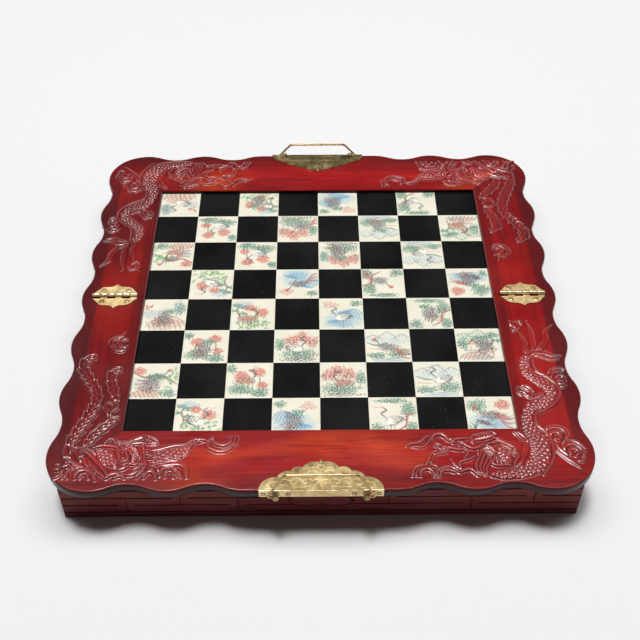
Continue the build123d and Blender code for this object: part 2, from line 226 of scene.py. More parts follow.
def lacquer_colour(finish):
    """Red lacquer of the four rails, with a dark seam where they meet."""
    x, y = finish.axis(0), finish.axis(1)
    far_x, far_y = finish.maths("ABSOLUTE", x), finish.maths("ABSOLUTE", y)
    long_colour = long_rail_colour(finish, x, y, far_y)
    side_colour = side_rail_colour(finish, x, far_x, far_y)
    mitre = finish.maths("SUBTRACT", finish.maths("SUBTRACT", far_x, far_y), OPEN_X - OPEN_Y)
    on_side = finish.maths("GREATER_THAN", mitre, 0.0)
    seam = finish.ramp(finish.maths("ABSOLUTE", mitre), (0.20, 0.8), (0.45, 0.0))
    return finish.mix(seam, finish.mix(on_side, long_colour, side_colour), (0.02, 0.004, 0.005))


def lacquer(name, coat=0.6, carved=False):
    """Glossy lacquer of the frame. On a carving, painted shade darkens the hollows and a painted highlight
    makes the ridges pale.
    """
    finish = Finish(name, 0.3, coat=coat, coat_roughness=0.13 if carved else 0.1, specular=0.2)
    colour = lacquer_colour(finish)
    if carved:
        relief_shade_and_highlight = finish.node("Attribute", attribute_name="relief_shade_and_highlight", output=2)
        # Painted shade in the hollows and round each figure, and a painted highlight on the ridges
        colour = finish.mix(finish.maths("MULTIPLY", relief_shade_and_highlight, -1.1, clamp=True), colour, (0.030, 0.002, 0.004))
        colour = finish.mix(finish.maths("MULTIPLY", relief_shade_and_highlight, 0.55, clamp=True), colour, (0.50, 0.09, 0.08))
    smears = finish.noise(1.0, (30, 30, 30), detail=5)
    grain = finish.noise(1.0, (300, 900, 300), detail=3)
    finish.link(
        Base_Color=colour,
        Roughness=finish.ramp(smears, (0.35, 0.26), (0.7, 0.38)),
        Normal=finish.bump(grain, 0.03, 0.3),
    )
    return finish.material


def edge_lacquer():
    """Near black lacquer on the upright edge of the frame."""
    finish = Finish("edge_lacquer", 0.3, specular=0.16)
    smears = finish.noise(1.0, (25, 25, 60), detail=4)
    finish.link(
        Base_Color=finish.ramp(smears, (0.35, (0.020, 0.005, 0.007)), (0.7, (0.062, 0.012, 0.014))),
        Roughness=finish.ramp(smears, (0.35, 0.22), (0.7, 0.4)),
    )
    return finish.material


def dark_lacquer():
    """Dark red-brown lacquer of the box, with painted shade darker towards its foot."""
    finish = Finish("dark_lacquer", 0.42, specular=0.12)
    grain = finish.noise(1.0, (12, 12, 260), detail=6, roughness=0.6)
    colour = finish.ramp(grain, (0.30, (0.14, 0.027, 0.026)), (0.70, (0.25, 0.046, 0.044)))
    # Painted shade: the walls darker towards the foot
    height = finish.ramp(finish.maths("DIVIDE", finish.axis(2), 40.0), (0.0, 0.6), (0.9, 1.0))
    rounded = finish.node("Bevel", {"Radius": 0.5 * MM}, samples=6)
    finish.link(Base_Color=finish.shaded(colour, height), Normal=finish.bump(grain, 0.05, 0.4, rounded))
    return finish.material


def raw_wood():
    """Thinly stained wood of the trays, floor and hidden walls."""
    finish = Finish("stained_wood", 0.55)
    grain = finish.noise(1.0, (25, 320, 320), detail=6, roughness=0.6, distortion=0.5)
    colour = finish.ramp(
        grain, (0.28, (0.16, 0.055, 0.03)), (0.5, (0.33, 0.14, 0.075)), (0.72, (0.45, 0.22, 0.12))
    )
    finish.link(Base_Color=colour, Normal=finish.bump(grain, 0.1, 0.5))
    return finish.material


def black_stone():
    """Polished black tile with fine pale specks."""
    finish = Finish("black_tile", 0.16, specular=0.35)
    specks = finish.node("TexVoronoi", {"Vector": finish.place(), "Scale": 560.0}, output="Distance")
    specks = finish.ramp(specks, (0.05, 1.0), (0.13, 0.0))
    chance = finish.ramp(finish.noise(700.0, detail=1), (0.54, 0.0), (0.62, 1.0))
    dots = finish.maths("MULTIPLY", specks, chance)
    cloud = finish.noise(18.0, detail=3)
    body = finish.ramp(cloud, (0.3, (0.003, 0.0032, 0.0035)), (0.7, (0.013, 0.013, 0.013)))
    finish.link(Base_Color=finish.mix(dots, body, (0.24, 0.24, 0.22)))
    return finish.material


def ivory():
    """Plain ivory tile, slightly clouded."""
    finish = Finish("ivory_tile", 0.35, coat=0.3, coat_roughness=0.15)
    cloud = finish.noise(30.0, detail=4)
    finish.link(Base_Color=finish.ramp(cloud, (0.3, (0.74, 0.71, 0.57)), (0.7, (0.80, 0.77, 0.64))))
    return finish.material


def painted_ivory():
    """Ivory tile with a brush painting kept in its own colours."""
    finish = Finish("painted_ivory", 0.35, coat=0.3, coat_roughness=0.15)
    painting = finish.node("Attribute", attribute_name="painting")
    cloud = finish.ramp(finish.noise(60.0, detail=4), (0.3, 0.92), (0.7, 1.0))
    finish.link(Base_Color=finish.shaded(painting, cloud))
    return finish.material


def brass(
    name, light=(0.39, 0.295, 0.148), dark=(0.17, 0.122, 0.052),
    metallic=1.0, rough=0.28, pitted=0.4, scale=160.0,
):
    """Worn sheet brass, mottled with brown tarnish."""
    finish = Finish(name, rough, metallic=metallic)
    tarnish = finish.noise(scale, detail=6, roughness=0.65)
    patches = finish.ramp(finish.noise(0.3 * scale, detail=3), (0.35, 0.0), (0.65, 0.16))
    tarnish = finish.maths("ADD", tarnish, finish.maths("SUBTRACT", patches, 0.07))
    between = [(a + b) / 2 for a, b in zip(light, dark)]
    colour = finish.ramp(tarnish, (0.34, dark), (0.52, between), (0.66, light))
    roughness = finish.ramp(finish.noise(90.0, detail=4), (0.35, rough), (0.7, rough + 0.2))
    finish.link(Base_Color=colour, Roughness=roughness, Normal=finish.bump(tarnish, 0.04, pitted))
    return finish.material


def velvet():
    """Golden velvet with a soft nap."""
    finish = Finish("velvet", 0.9)
    finish.shader.inputs["Sheen Weight"].default_value = 0.6
    nap = finish.noise(900.0, detail=3)
    finish.link(
        Base_Color=finish.ramp(nap, (0.3, (0.28, 0.17, 0.03)), (0.7, (0.44, 0.29, 0.06))),
        Normal=finish.bump(nap, 0.2, 0.8),
    )
    return finish.material


FINISHES = {
    "red_lacquer": lacquer("rail_lacquer"),
    "dark_lacquer": dark_lacquer(),
    "edge_lacquer": edge_lacquer(),
    "plywood": raw_wood(),
    "black_tile": black_stone(),
    "ivory_tile": ivory(),
    "brass": brass("worn_brass"),
    "raised_brass": brass("raised_brass", (0.56, 0.44, 0.22), (0.26, 0.19, 0.08)),
    # Lighter brass for the plate's flange: a painted reflection
    "flange_brass": brass("flange_brass", (0.82, 0.64, 0.35), (0.52, 0.38, 0.18)),
    "hinge_brass": brass("hinge_brass", (0.84, 0.64, 0.34), (0.42, 0.30, 0.12), 0.76, 0.38),
    # Lighter polished brass: a painted highlight on the plate's bend, the hinge knuckles and the nail heads
    "bright_brass": brass("bright_brass", (0.86, 0.74, 0.48), (0.50, 0.38, 0.19), rough=0.16),
    "brass_wire": brass(
        "wire_brass", (0.72, 0.52, 0.28), (0.38, 0.25, 0.11), rough=0.16, pitted=0.0, scale=30.0
    ),
    # Dark brass for painted shade: the nail dimples, the rings round the screw heads and their slots
    "tarnish": brass("tarnish", (0.20, 0.13, 0.07), (0.07, 0.04, 0.025)),
    "steel": brass("steel_pin", (0.55, 0.53, 0.50), (0.35, 0.33, 0.31)),
    "velvet": velvet(),
}
FINISHES["maroon_lacquer"] = FINISHES["red_lacquer"]


# ---- Making pieces ----


def piece(name, shape, finish, body, replaced=()):
    """Turns a bmesh in millimetres into a named piece that moves with a body."""
    mesh = bpy.data.meshes.new(name)
    bmesh.ops.scale(shape, verts=shape.verts, vec=(MM, MM, MM))
    shape.to_mesh(mesh)
    shape.free()
    mesh.materials.append(finish)
    made = bpy.data.objects.new(name, mesh)
    bpy.context.scene.collection.objects.link(made)
    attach(made, body)
    if replaced:
        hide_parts(*replaced)
    return made


def in_millimetres(mesh, weld=0.001):
    """Shape of a mesh drawn in metres, with its double points welded."""
    shape = bmesh.new()
    shape.from_mesh(mesh)
    bmesh.ops.scale(shape, verts=shape.verts, vec=(1 / MM,) * 3)
    bmesh.ops.remove_doubles(shape, verts=shape.verts, dist=weld)
    return shape


def shade(shape):
    """Makes every face smooth."""
    for face in shape.faces:
        face.smooth = True


def turn_round(shape):
    """Turns a shape half way round, from one half to the other."""
    bmesh.ops.rotate(shape, cent=(0, 0, 0), matrix=Matrix.Rotation(pi, 3, "Z"), verts=shape.verts)


def round_edges(shape, edges, width, segments=2):
    """Rounds some edges of a shape over."""
    bmesh.ops.bevel(
        shape, geom=list(edges), offset=width, offset_type="OFFSET", segments=segments,
        profile=0.5, affect="EDGES", material=-1, clamp_overlap=True,
    )


def turned(shape, profile, place, steps=32):
    """Adds a round piece, turned about +Z from (radius, height) points, and moves it to its place."""
    before = set(shape.verts)
    row = [shape.verts.new((radius, 0, height)) for radius, height in profile]
    edges = [shape.edges.new(pair) for pair in zip(row, row[1:])]
    bmesh.ops.spin(
        shape, geom=row + edges, cent=(0, 0, 0), axis=(0, 0, 1), angle=2 * pi, steps=steps, use_merge=True
    )
    made = [vert for vert in shape.verts if vert not in before]
    bmesh.ops.remove_doubles(shape, verts=made, dist=0.001)
    made = [vert for vert in shape.verts if vert not in before]
    faces = list({face for vert in made for face in vert.link_faces})
    bmesh.ops.recalc_face_normals(shape, faces=faces)
    bmesh.ops.transform(shape, matrix=place, verts=made)
    for face in faces:
        face.smooth = True


def shape_of(curve):
    """Shape in millimetres of a curve drawn in metres."""
    line = bpy.data.objects.new(curve.name, curve)
    bpy.context.scene.collection.objects.link(line)
    shape = in_millimetres(bpy.data.meshes.new_from_object(line))
    bpy.data.objects.remove(line)
    bmesh.ops.recalc_face_normals(shape, faces=shape.faces)
    return shape


def join(shape, other):
    """Adds another shape's faces to the first one."""
    mesh = bpy.data.meshes.new("joined")
    other.to_mesh(mesh)
    other.free()
    shape.from_mesh(mesh)
    bpy.data.meshes.remove(mesh)


def facing(place, direction):
    """Matrix that stands +Z along a direction at a place."""
    return Matrix.Translation(place) @ Vector(direction).to_track_quat("Z", "Y").to_matrix().to_4x4()


# ---- Lines and height cells ----


def smooth_line(points, step=1.0):
    """Rows of numbers on a soft curve through the given rows, close together."""
    rows = np.array(points, float)
    rows = np.vstack([2 * rows[0] - rows[1], rows, 2 * rows[-1] - rows[-2]])
    runs = []
    for a, b, c, d in zip(rows, rows[1:], rows[2:], rows[3:]):
        count = max(2, int(np.hypot(*(c - b)[:2]) / step))
        t = np.linspace(0, 1, count, endpoint=False)[:, None]
        square, cube = 2 * a - 5 * b + 4 * c - d, 3 * b - a - 3 * c + d
        runs.append(0.5 * (2 * b + (c - a) * t + square * t**2 + cube * t**3))
    return np.vstack(runs + [rows[-2:-1]])


THINNEST = 0.05  # Least half width of a line


class Cells:
    """A patch of square cells, with places in millimetres."""

    def __init__(self, low, high, cell):
        self.low, self.cell = low, cell
        self.count = [int(round((end - start) / cell)) for start, end in zip(low, high)]
        steps = [start + cell * np.arange(count + 1) for start, count in zip(low, self.count)]
        self.x, self.y = np.meshgrid(*steps, indexing="ij")

    def window(self, ends_x, ends_y, reach):
        """Slices of the cells within reach of a short line."""
        return tuple(
            slice(
                max(int((min(ends) - reach - low) / self.cell), 0),
                int((max(ends) + reach - low) / self.cell) + 2,
            )
            for ends, low in zip((ends_x, ends_y), self.low)
        )

    def band(self, points, past=0.0):
        """Places along and across a line of (x, y, half width), its half width, and the cells on it."""
        nearest = np.full(self.x.shape, np.inf)
        along, across, width = (np.zeros(self.x.shape) for _ in range(3))
        line, run = smooth_line(points), 0.0
        for (x0, y0, w0), (x1, y1, w1) in zip(line, line[1:]):
            length = np.hypot(x1 - x0, y1 - y0)
            if length == 0:
                continue
            window = self.window((x0, x1), (y0, y1), max(w0, w1) + past + self.cell)
            x, y = self.x[window] - x0, self.y[window] - y0
            part = np.clip((x * (x1 - x0) + y * (y1 - y0)) / length**2, 0, 1)
            gap_x, gap_y = x - part * (x1 - x0), y - part * (y1 - y0)
            distance = np.hypot(gap_x, gap_y)
            better = distance < nearest[window]
            side = np.sign((x1 - x0) * gap_y - (y1 - y0) * gap_x)
            for field, value in (
                (nearest, distance), (across, side * distance),
                (along, run + part * length), (width, w0 + part * (w1 - w0)),
            ):
                field[window] = np.where(better, value, field[window])
            run += length
        width = np.maximum(width, THINNEST)
        return along, across, width, nearest < width + past


def blurred(values, times):
    """Values softened over their neighbouring cells."""
    for _ in range(times):
        for axis in (0, 1):
            values = 0.5 * values + 0.25 * (np.roll(values, 1, axis) + np.roll(values, -1, axis))
    return values


def beads(along, across, pitch):
    """Staggered rows of small domes."""
    row = np.round(along / pitch)
    column = np.round(across / (1.45 * pitch) - 0.5 * (row % 2)) + 0.5 * (row % 2)
    away_along, away_across = along - row * pitch, across - column * 1.45 * pitch
    reach = np.hypot(away_along / (0.56 * pitch), away_across / (0.82 * pitch))
    return np.sqrt(np.clip(1 - reach**2, 0, 1))


def barbs(along, across, pitch, slant):
    """Slanting ridges on both sides of a middle line, as on a feather."""
    return np.abs(np.cos(pi * (along - slant * np.abs(across)) / pitch))


def relief_of(kind, along, across, width):
    """Height of a carved band, from 0 to about 1, by what it shows."""
    share = np.clip(np.abs(across) / width, 0, 1)
    rounded = np.sqrt(1 - share**2)
    if kind == "scaled":
        return rounded * (0.35 + 0.65 * beads(along, across, 3.1))
    if kind == "plume":
        reach = share / (0.7 + 0.3 * ((along / 9.0) % 1) ** 1.5)
        rim = np.exp(-(((reach - 0.82) / 0.15) ** 2))
        spine = np.exp(-(((np.abs(across) - 0.9) / 0.5) ** 2))
        vane = 0.25 + 0.35 * barbs(along, across, 5.5, 2.0)
        return np.clip((1 - reach) / 0.1, 0, 1) * np.maximum(vane, np.maximum(rim, 0.8 * spine))
    if kind == "frond":
        return np.minimum(rounded * 1.5, 1) * (0.35 + 0.65 * barbs(along, across, 2.2, 0.7))
    if kind == "lock":
        count = np.maximum(np.round(width), 1)
        return rounded * (0.55 + 0.45 * np.abs(np.cos(0.5 * pi * (1 + count) * across / width)))
    return rounded


def carve(cells, strokes):
    """Heights of a carving whose strokes lie one over another, each with a cut beside it."""
    height = np.zeros(cells.x.shape)
    for kind, rise, points in strokes:
        along, across, width, near = cells.band(points, past=0.7)
        on = np.abs(across) < width
        height = np.where(near & ~on, 0.55 * height, height)
        raised = rise * relief_of(kind, along, across, width)
        height = np.where(near & on, np.maximum(raised, 0.45 * height), height)
    return height


def raise_cells(shape, cells, heights, keep, relief_shade_and_highlight):
    """Adds the kept cells as a surface, with a height in millimetres and a level for each place, which a
    carving's lacquer reads as painted shade and highlight.
    """
    middle = [low + count * cells.cell / 2 for low, count in zip(cells.low, cells.count)]
    half = [count * cells.cell / 2 for count in cells.count]
    place = Matrix.Translation((*middle, 0)) @ Matrix.Diagonal((*half, 1, 1))
    layer = shape.verts.layers.float.new("relief_shade_and_highlight")
    grid = bmesh.ops.create_grid(
        shape, x_segments=cells.count[0], y_segments=cells.count[1], size=1, matrix=place
    )
    spare = []
    for vert in grid["verts"]:
        spot = tuple(int(round((at - low) / cells.cell)) for at, low in zip(vert.co, cells.low))
        vert.co.z = heights[spot]
        vert[layer] = relief_shade_and_highlight[spot]
        if not keep[spot]:
            spare.append(vert)
    bmesh.ops.delete(shape, geom=spare, context="VERTS")


def lip_down(shape, depth):
    """Turns the open edge of a surface down, so that it ends inside what carries it."""
    rim = [edge for edge in shape.edges if edge.is_boundary]
    lip = bmesh.ops.extrude_edge_only(shape, edges=rim)["geom"]
    lowered = [part for part in lip if isinstance(part, bmesh.types.BMVert)]
    bmesh.ops.translate(shape, vec=(0, 0, -depth), verts=lowered)


# ---- Carved corners ----

# A carving's strokes, as (kind, rise, line of x, y and half width), in front of the fold
DRAGON = (
    ("scaled", 1.56, ((180.6, -77.4, 2.8), (175.6, -85, 5.2), (176.2, -95, 5.4), (183.4, -103.4, 5.4),
        (191, -112, 6.2), (192, -121, 6.4), (185, -129.4, 6.4), (175, -134.6, 6), (169.4, -143, 5.4),
        (168.4, -153, 6.2), (171.6, -163, 8.6), (174, -173, 9.4), (173.4, -183, 9.6), (169.4, -192, 8.8),
        (161, -198.6, 7.2), (151, -202, 5.6), (141, -203.6, 4.4), (133.4, -203.6, 2.4))),
    ("lock", 0.96, ((182, -76.6, 2.4), (178.2, -70, 2.2), (179.4, -63, 2.2), (177.4, -55, 1.9),
        (175.6, -48.6, 0.72))),
    ("lock", 1.08, ((184.4, -75, 2.4), (186.2, -66, 2.6), (186.2, -57, 2.9), (186.2, -47, 2.2),
        (184.2, -36.6, 0.72))),
    ("lock", 1.08, ((185, -74.6, 2.4), (193, -67.4, 2.9), (197.8, -59, 3.1), (199.4, -50, 2.9),
        (206.6, -40.6, 0.72))),
    ("lock", 0.96, ((184.6, -75.4, 2.2), (193, -73.8, 2.9), (200, -77.4, 2.4), (208.6, -77.8, 0.72))),
    ("lock", 0.84, ((187, -77.4, 1.4), (194, -79.4, 2.2), (200, -82, 1.9), (206, -81, 0.72))),
    ("lock", 1.2, ((155.4, -161.4, 0.96), (160, -165.4, 2.2), (163, -173, 2.6), (161.4, -182, 3.1),
        (156.6, -191, 2.6), (150.6, -196.6, 1.2))),
    ("round", 0.96, ((159, -161.8, 0.81), (163.4, -166.2, 1.6), (165.4, -171, 1.4))),
    ("round", 1.08, ((185, -121, 2.2), (180, -123.6, 2.7), (174.6, -124.4, 2.4), (171, -121, 1.9))),
    ("round", 0.84, ((176.2, -123.4, 1.4), (174.6, -118, 1.6), (170.6, -114.4, 1.6),
        (166.6, -113, 0.81))),
    ("round", 0.84, ((173, -123, 1.4), (170.6, -119.4, 1.6), (167, -118.2, 1.4), (164.6, -119.4, 0.81))),
    ("round", 0.84, ((178.2, -119, 1.1), (176.2, -115, 1.4), (173, -112.2, 1.4), (169.4, -111.8, 0.81))),
    ("round", 0.84, ((166, -113, 0.81), (164.6, -116.6, 1.4), (165.6, -120.2, 1.1), (168, -122.6, 0.81))),
    ("round", 0.84, ((172, -42, 0.81), (169.8, -37.4, 1.6), (172, -32.6, 1.9), (176.2, -31.4, 1.6),
        (179, -34, 1.1))),
    ("round", 0.84, ((174, -44.6, 0.81), (172.2, -40.6, 1.4), (174, -37, 1.6), (178, -36.6, 1.4),
        (179.8, -39.4, 0.81))),
    ("round", 0.84, ((179, -31, 0.81), (183, -29, 1.6), (186.2, -31, 1.6), (185, -34.6, 0.81))),
    ("round", 0.84, ((170, -44.6, 0.81), (172, -47, 1.4), (175.4, -45.8, 1.4), (177, -44, 0.81))),
    ("round", 0.84, ((194.6, -96.6, 0.81), (197.4, -94, 1.6), (202, -92.2, 1.9), (206.2, -93, 1.6),
        (207.8, -95, 0.81))),
    ("round", 0.84, ((196, -102, 0.81), (198.6, -97.4, 1.6), (202.6, -96.2, 1.6), (205.8, -97.4, 0.81))),
    ("round", 0.84, ((200, -101.8, 0.81), (204, -100.6, 1.6), (206.6, -103.4, 1.6), (204.6, -106.6, 1.4),
        (201, -105.8, 0.81))),
    ("round", 0.84, ((199.4, -107, 0.81), (201.8, -110, 1.6), (205.8, -109.4, 1.6), (207.4, -106, 0.81))),
    ("round", 0.84, ((199.4, -111.4, 0.81), (203, -113.6, 1.6), (207, -112.2, 0.81))),
    ("round", 1.2, ((180.6, -165, 1.1), (181.4, -160, 2.4), (186, -157, 2.7), (191.4, -157, 2.7),
        (196, -159.4, 2.7), (197.8, -165, 2.4), (195.4, -170.6, 1.6), (193, -173, 0.81))),
    ("round", 1.08, ((184.2, -169.4, 0.81), (183.8, -165, 1.9), (186.2, -162, 2.2), (190.6, -162, 2.2),
        (192.6, -166, 1.9), (190.2, -169.4, 1.6), (187.4, -168.6, 0.81))),
    ("round", 1.08, ((193, -183, 0.81), (193, -178, 2.2), (196, -174.6, 2.4), (201, -173.8, 2.4),
        (205.4, -176.2, 2.4), (207.8, -181, 2.2), (207.4, -186, 1.4))),
    ("round", 1.08, ((197.4, -185, 0.81), (197, -181, 1.9), (199.8, -178.6, 2.2), (203.4, -180.2, 1.9),
        (203.4, -183.8, 1.6), (201, -186.2, 0.81))),
    ("round", 0.84, ((202.6, -190.2, 0.81), (205.8, -191, 1.4), (208.2, -187.4, 0.81))),
    ("round", 0.84, ((197, -170, 0.81), (201.8, -170.6, 1.4), (205.8, -173.4, 1.4), (209.8, -179, 0.81))),
    ("lock", 1.08, ((182.6, -172, 1.2), (186.2, -178, 2.4), (191.4, -185, 2.2), (197, -191.6, 1.5),
        (202.6, -197, 0.6))),
    ("round", 0.84, ((187, -174, 1.1), (190.6, -180, 1.4), (195, -185, 0.81))),
    ("round", 1.08, ((183, -80, 0.81), (182.2, -89, 1.4), (185, -96.6, 1.4), (193, -103.4, 1.4),
        (199, -112.2, 1.4), (198.6, -122.6, 1.4), (193, -132, 1.4), (185, -138.2, 1.4),
        (178, -141.8, 1.4), (174.6, -146.6, 1.4), (175.4, -154, 1.4), (180.6, -161, 1.4),
        (183.8, -169, 1.4), (184.2, -179, 1.4), (182.6, -188, 1.4), (178.2, -196.6, 1.1),
        (173, -203.4, 0.81))),
    ("round", 1.2, ((68.12, -174.5, 0.6), (72.5, -172.6, 1.4), (77.19, -172, 1.5), (80.94, -169.5, 1.4),
        (83.75, -166.6, 1.2), (86.56, -164.9, 0.6))),
    ("round", 1.08, ((73.12, -175.5, 0.6), (78.44, -176.2, 1.1), (82.81, -174.9, 1.2),
        (85.94, -170.9, 1.1), (88.12, -167.2, 0.84), (89.06, -165, 0.6))),
    ("round", 1.56, ((88.75, -167.5, 0.84), (91.12, -164.4, 1.7), (95.62, -163.1, 2),
        (99.5, -165.5, 1.9), (102, -168.9, 1.7), (105.3, -169.9, 1))),
    ("round", 1.32, ((89.25, -167.8, 0.68), (91.25, -171.4, 1.2), (94.5, -174.1, 1.4),
        (99.06, -175.9, 1.4), (103.8, -177.5, 1.5), (108.8, -178.8, 1.5), (112.8, -178.6, 1.4),
        (115.4, -180.3, 1.3), (115.8, -183.1, 1), (114.1, -185.5, 0.6))),
    ("round", 1.08, ((89.69, -169.7, 0.6), (90.75, -173.8, 1), (93.44, -177.2, 1.2), (96.56, -179.7, 1),
        (99.5, -180.5, 0.6))),
    ("round", 1.08, ((96.56, -175.6, 0.6), (98.75, -176.6, 0.84), (101.2, -178.2, 0.84),
        (100, -180.1, 0.6))),
    ("round", 1.32, ((102.5, -168.2, 0.68), (105.9, -169.2, 1.5), (110, -168.2, 1.4), (115, -167.8, 1),
        (120.3, -167.6, 0.6))),
    ("bead", 1.56, ((105.9, -171.8, 1.5), (106.4, -171.8, 1.5))),
    ("bead", 1.44, ((110.9, -173.9, 1.6), (111.6, -173.9, 1.5))),
    ("round", 1.44, ((108.8, -171.4, 0.84), (112.5, -171.8, 1.5), (115.5, -175, 1.5),
        (118.9, -177.4, 1.5), (123.1, -177.6, 1.4), (127.5, -174.9, 1.2), (132.5, -170.8, 1),
        (138.2, -168.4, 0.6))),
    ("frond", 1.32, ((120.6, -170.3, 0.88), (125, -167.8, 2.8), (130.6, -166.2, 3.2), (135.6, -165, 2.8),
        (140.6, -164.2, 0.88))),
    ("round", 1.2, ((121.6, -171.8, 0.6), (120.6, -168.1, 0.84), (122.5, -164.7, 1), (127.8, -163, 1),
        (133.4, -162.2, 1), (137.8, -161.4, 1), (140.8, -163.9, 0.84))),
    ("round", 1.68, ((132.5, -173.1, 0.68), (136.2, -172.8, 1.5), (139.4, -171.4, 1.9),
        (141.6, -169.7, 1.5))),
    ("round", 1.8, ((138.4, -167.8, 1), (140.9, -168.4, 2), (143.8, -171.4, 2.7), (148.1, -173.8, 2.5),
        (151.9, -177, 2.4), (154.2, -179.7, 1.2))),
    ("round", 1.44, ((142.5, -173.8, 0.68), (145.6, -176.6, 1.5), (149.4, -179.1, 1.5),
        (152.4, -182.5, 1.4), (152.8, -185, 0.68))),
    ("round", 1.44, ((152.5, -180, 1), (154.5, -183.2, 1.5), (155.3, -186.4, 1.5), (153.6, -189.5, 1.5),
        (151.8, -192.8, 1.4), (151.2, -195.6, 0.84))),
    ("round", 1.2, ((121.6, -185.5, 0.68), (118.4, -187.5, 1.2), (114.7, -189.1, 1.3),
        (110.9, -190.1, 1.2), (108.8, -191.9, 1.2), (108.2, -194.7, 1.2), (108.9, -198.1, 1),
        (108.1, -200.8, 0.6))),
    ("lock", 1.32, ((102, -188.1, 0.6), (102.9, -191.4, 1.3), (104.8, -194.4, 1.9), (106.5, -197.6, 1.6),
        (107.9, -200.9, 0.6))),
    ("round", 0.96, ((99.25, -182, 0.6), (95, -182.5, 1), (90.62, -183, 1), (86.56, -182.5, 0.68),
        (85, -183.8, 0.6))),
    ("round", 0.96, ((93.25, -179.1, 0.6), (89.69, -180.8, 1.2), (86.88, -183.1, 1.4),
        (85.75, -186.6, 1.2), (84.25, -190, 1), (82, -193.8, 0.6))),
    ("round", 0.84, ((90, -184.4, 0.6), (88.44, -186.2, 0.68), (87.5, -189.1, 0.6),
        (86.56, -190.9, 0.6))),
    ("lock", 1.2, ((125, -179.5, 0.6), (124.2, -182.5, 1.1), (124.5, -185, 0.9), (123.8, -186.9, 0.6))),
    ("lock", 1.2, ((127.8, -178.8, 0.6), (126.6, -181.9, 1.1), (125, -186.2, 1.2), (122.8, -190.6, 1.2),
        (121.4, -195, 1.1), (121.6, -199.1, 0.9), (124.1, -202.8, 0.6))),
    ("lock", 1.2, ((130, -181.2, 0.6), (128.2, -185.6, 1.1), (126.4, -190, 1.2), (124.7, -194.4, 1.1),
        (124.2, -198.8, 0.9), (125.4, -202.5, 0.6))),
    ("lock", 1.2, ((132.2, -184.4, 0.6), (130.6, -188.8, 1.1), (128.9, -192.5, 1.1), (127, -195.9, 0.9),
        (126.6, -200, 0.6), (127.5, -203.8, 0.6))),
    ("lock", 1.2, ((133.8, -187.5, 0.6), (132.2, -191.9, 0.9), (130.3, -195, 0.9), (128.8, -198.8, 0.75),
        (129.1, -203.1, 0.6))),
    ("round", 1.32, ((130.6, -174.7, 0.68), (133.1, -175.9, 1.4), (136.2, -178.4, 1.4),
        (137.8, -181.2, 1.2), (140.9, -182.8, 0.68))),
    ("round", 1.08, ((130, -176.9, 0.6), (132.2, -179.1, 0.84), (134.7, -182.5, 0.84),
        (136.2, -185, 0.6))),
    ("round", 1.08, ((131.2, -176.6, 0.6), (133.8, -178.4, 0.84), (135.6, -180.6, 0.68),
        (136.9, -183.1, 0.6))),
    ("round", 1.08, ((128.8, -178.2, 0.6), (130.9, -181.2, 0.84), (133.1, -184.4, 0.68),
        (134.1, -186.2, 0.6))),
    ("scaled", 1.2, ((142.2, -178.1, 2.5), (143.9, -181.9, 4.7), (145.3, -186.2, 5.6),
        (145.6, -190, 4.7), (145.3, -192.5, 2.5))),
    ("round", 1.32, ((134.4, -180.3, 0.68), (137.2, -184.4, 1.2), (135.9, -189.1, 1.2),
        (133.6, -191.9, 1.5), (136.9, -194.2, 1.5), (141.2, -194.8, 1.4), (145.6, -194.2, 1.4),
        (149.1, -195, 0.68))),
    ("round", 1.2, ((138.8, -185, 0.68), (139.5, -187.5, 1.5), (138.8, -190, 0.68))),
    ("round", 1.2, ((141.9, -190.9, 0.6), (144.7, -192, 1), (148.1, -192.5, 0.6))),
    ("round", 1.2, ((70.94, -204.4, 0.68), (71.75, -200.1, 1.1), (74.25, -195.9, 1.5),
        (78.44, -194.2, 1.7), (81.38, -193.9, 0.68))),
    ("round", 1.2, ((77.38, -204.7, 0.68), (77.62, -200.8, 1.2), (79.69, -198, 1.5), (83, -197, 1.7),
        (86.12, -198.9, 1.4), (87.88, -202.4, 1.1), (88.25, -204.7, 0.6))),
    ("round", 0.96, ((74.38, -204.4, 0.6), (73.75, -202.2, 0.68), (74.88, -199.1, 0.84),
        (76.56, -197.5, 0.6))),
    ("round", 1.2, ((84.88, -194.5, 0.68), (88, -193.9, 1.7), (90.5, -196.1, 1.5), (90.12, -200.1, 1.1),
        (91, -205, 0.68))),
    ("round", 1.2, ((92.38, -204.7, 0.6), (93.12, -201.4, 1.1), (95.75, -198.9, 1.5), (100, -198.9, 1.5),
        (103.9, -201.1, 0.84))),
    ("round", 1.2, ((91.75, -198.1, 0.6), (96.25, -196.2, 1.4), (100.8, -195.8, 1.7),
        (104.5, -197.8, 1.5), (107.2, -200.6, 0.84))),
    ("round", 1.32, ((108.1, -201.2, 0.84), (111.9, -198.8, 1.7), (116.4, -198, 1.7), (118.9, -200, 1.5),
        (121.6, -204.1, 0.84))),
)

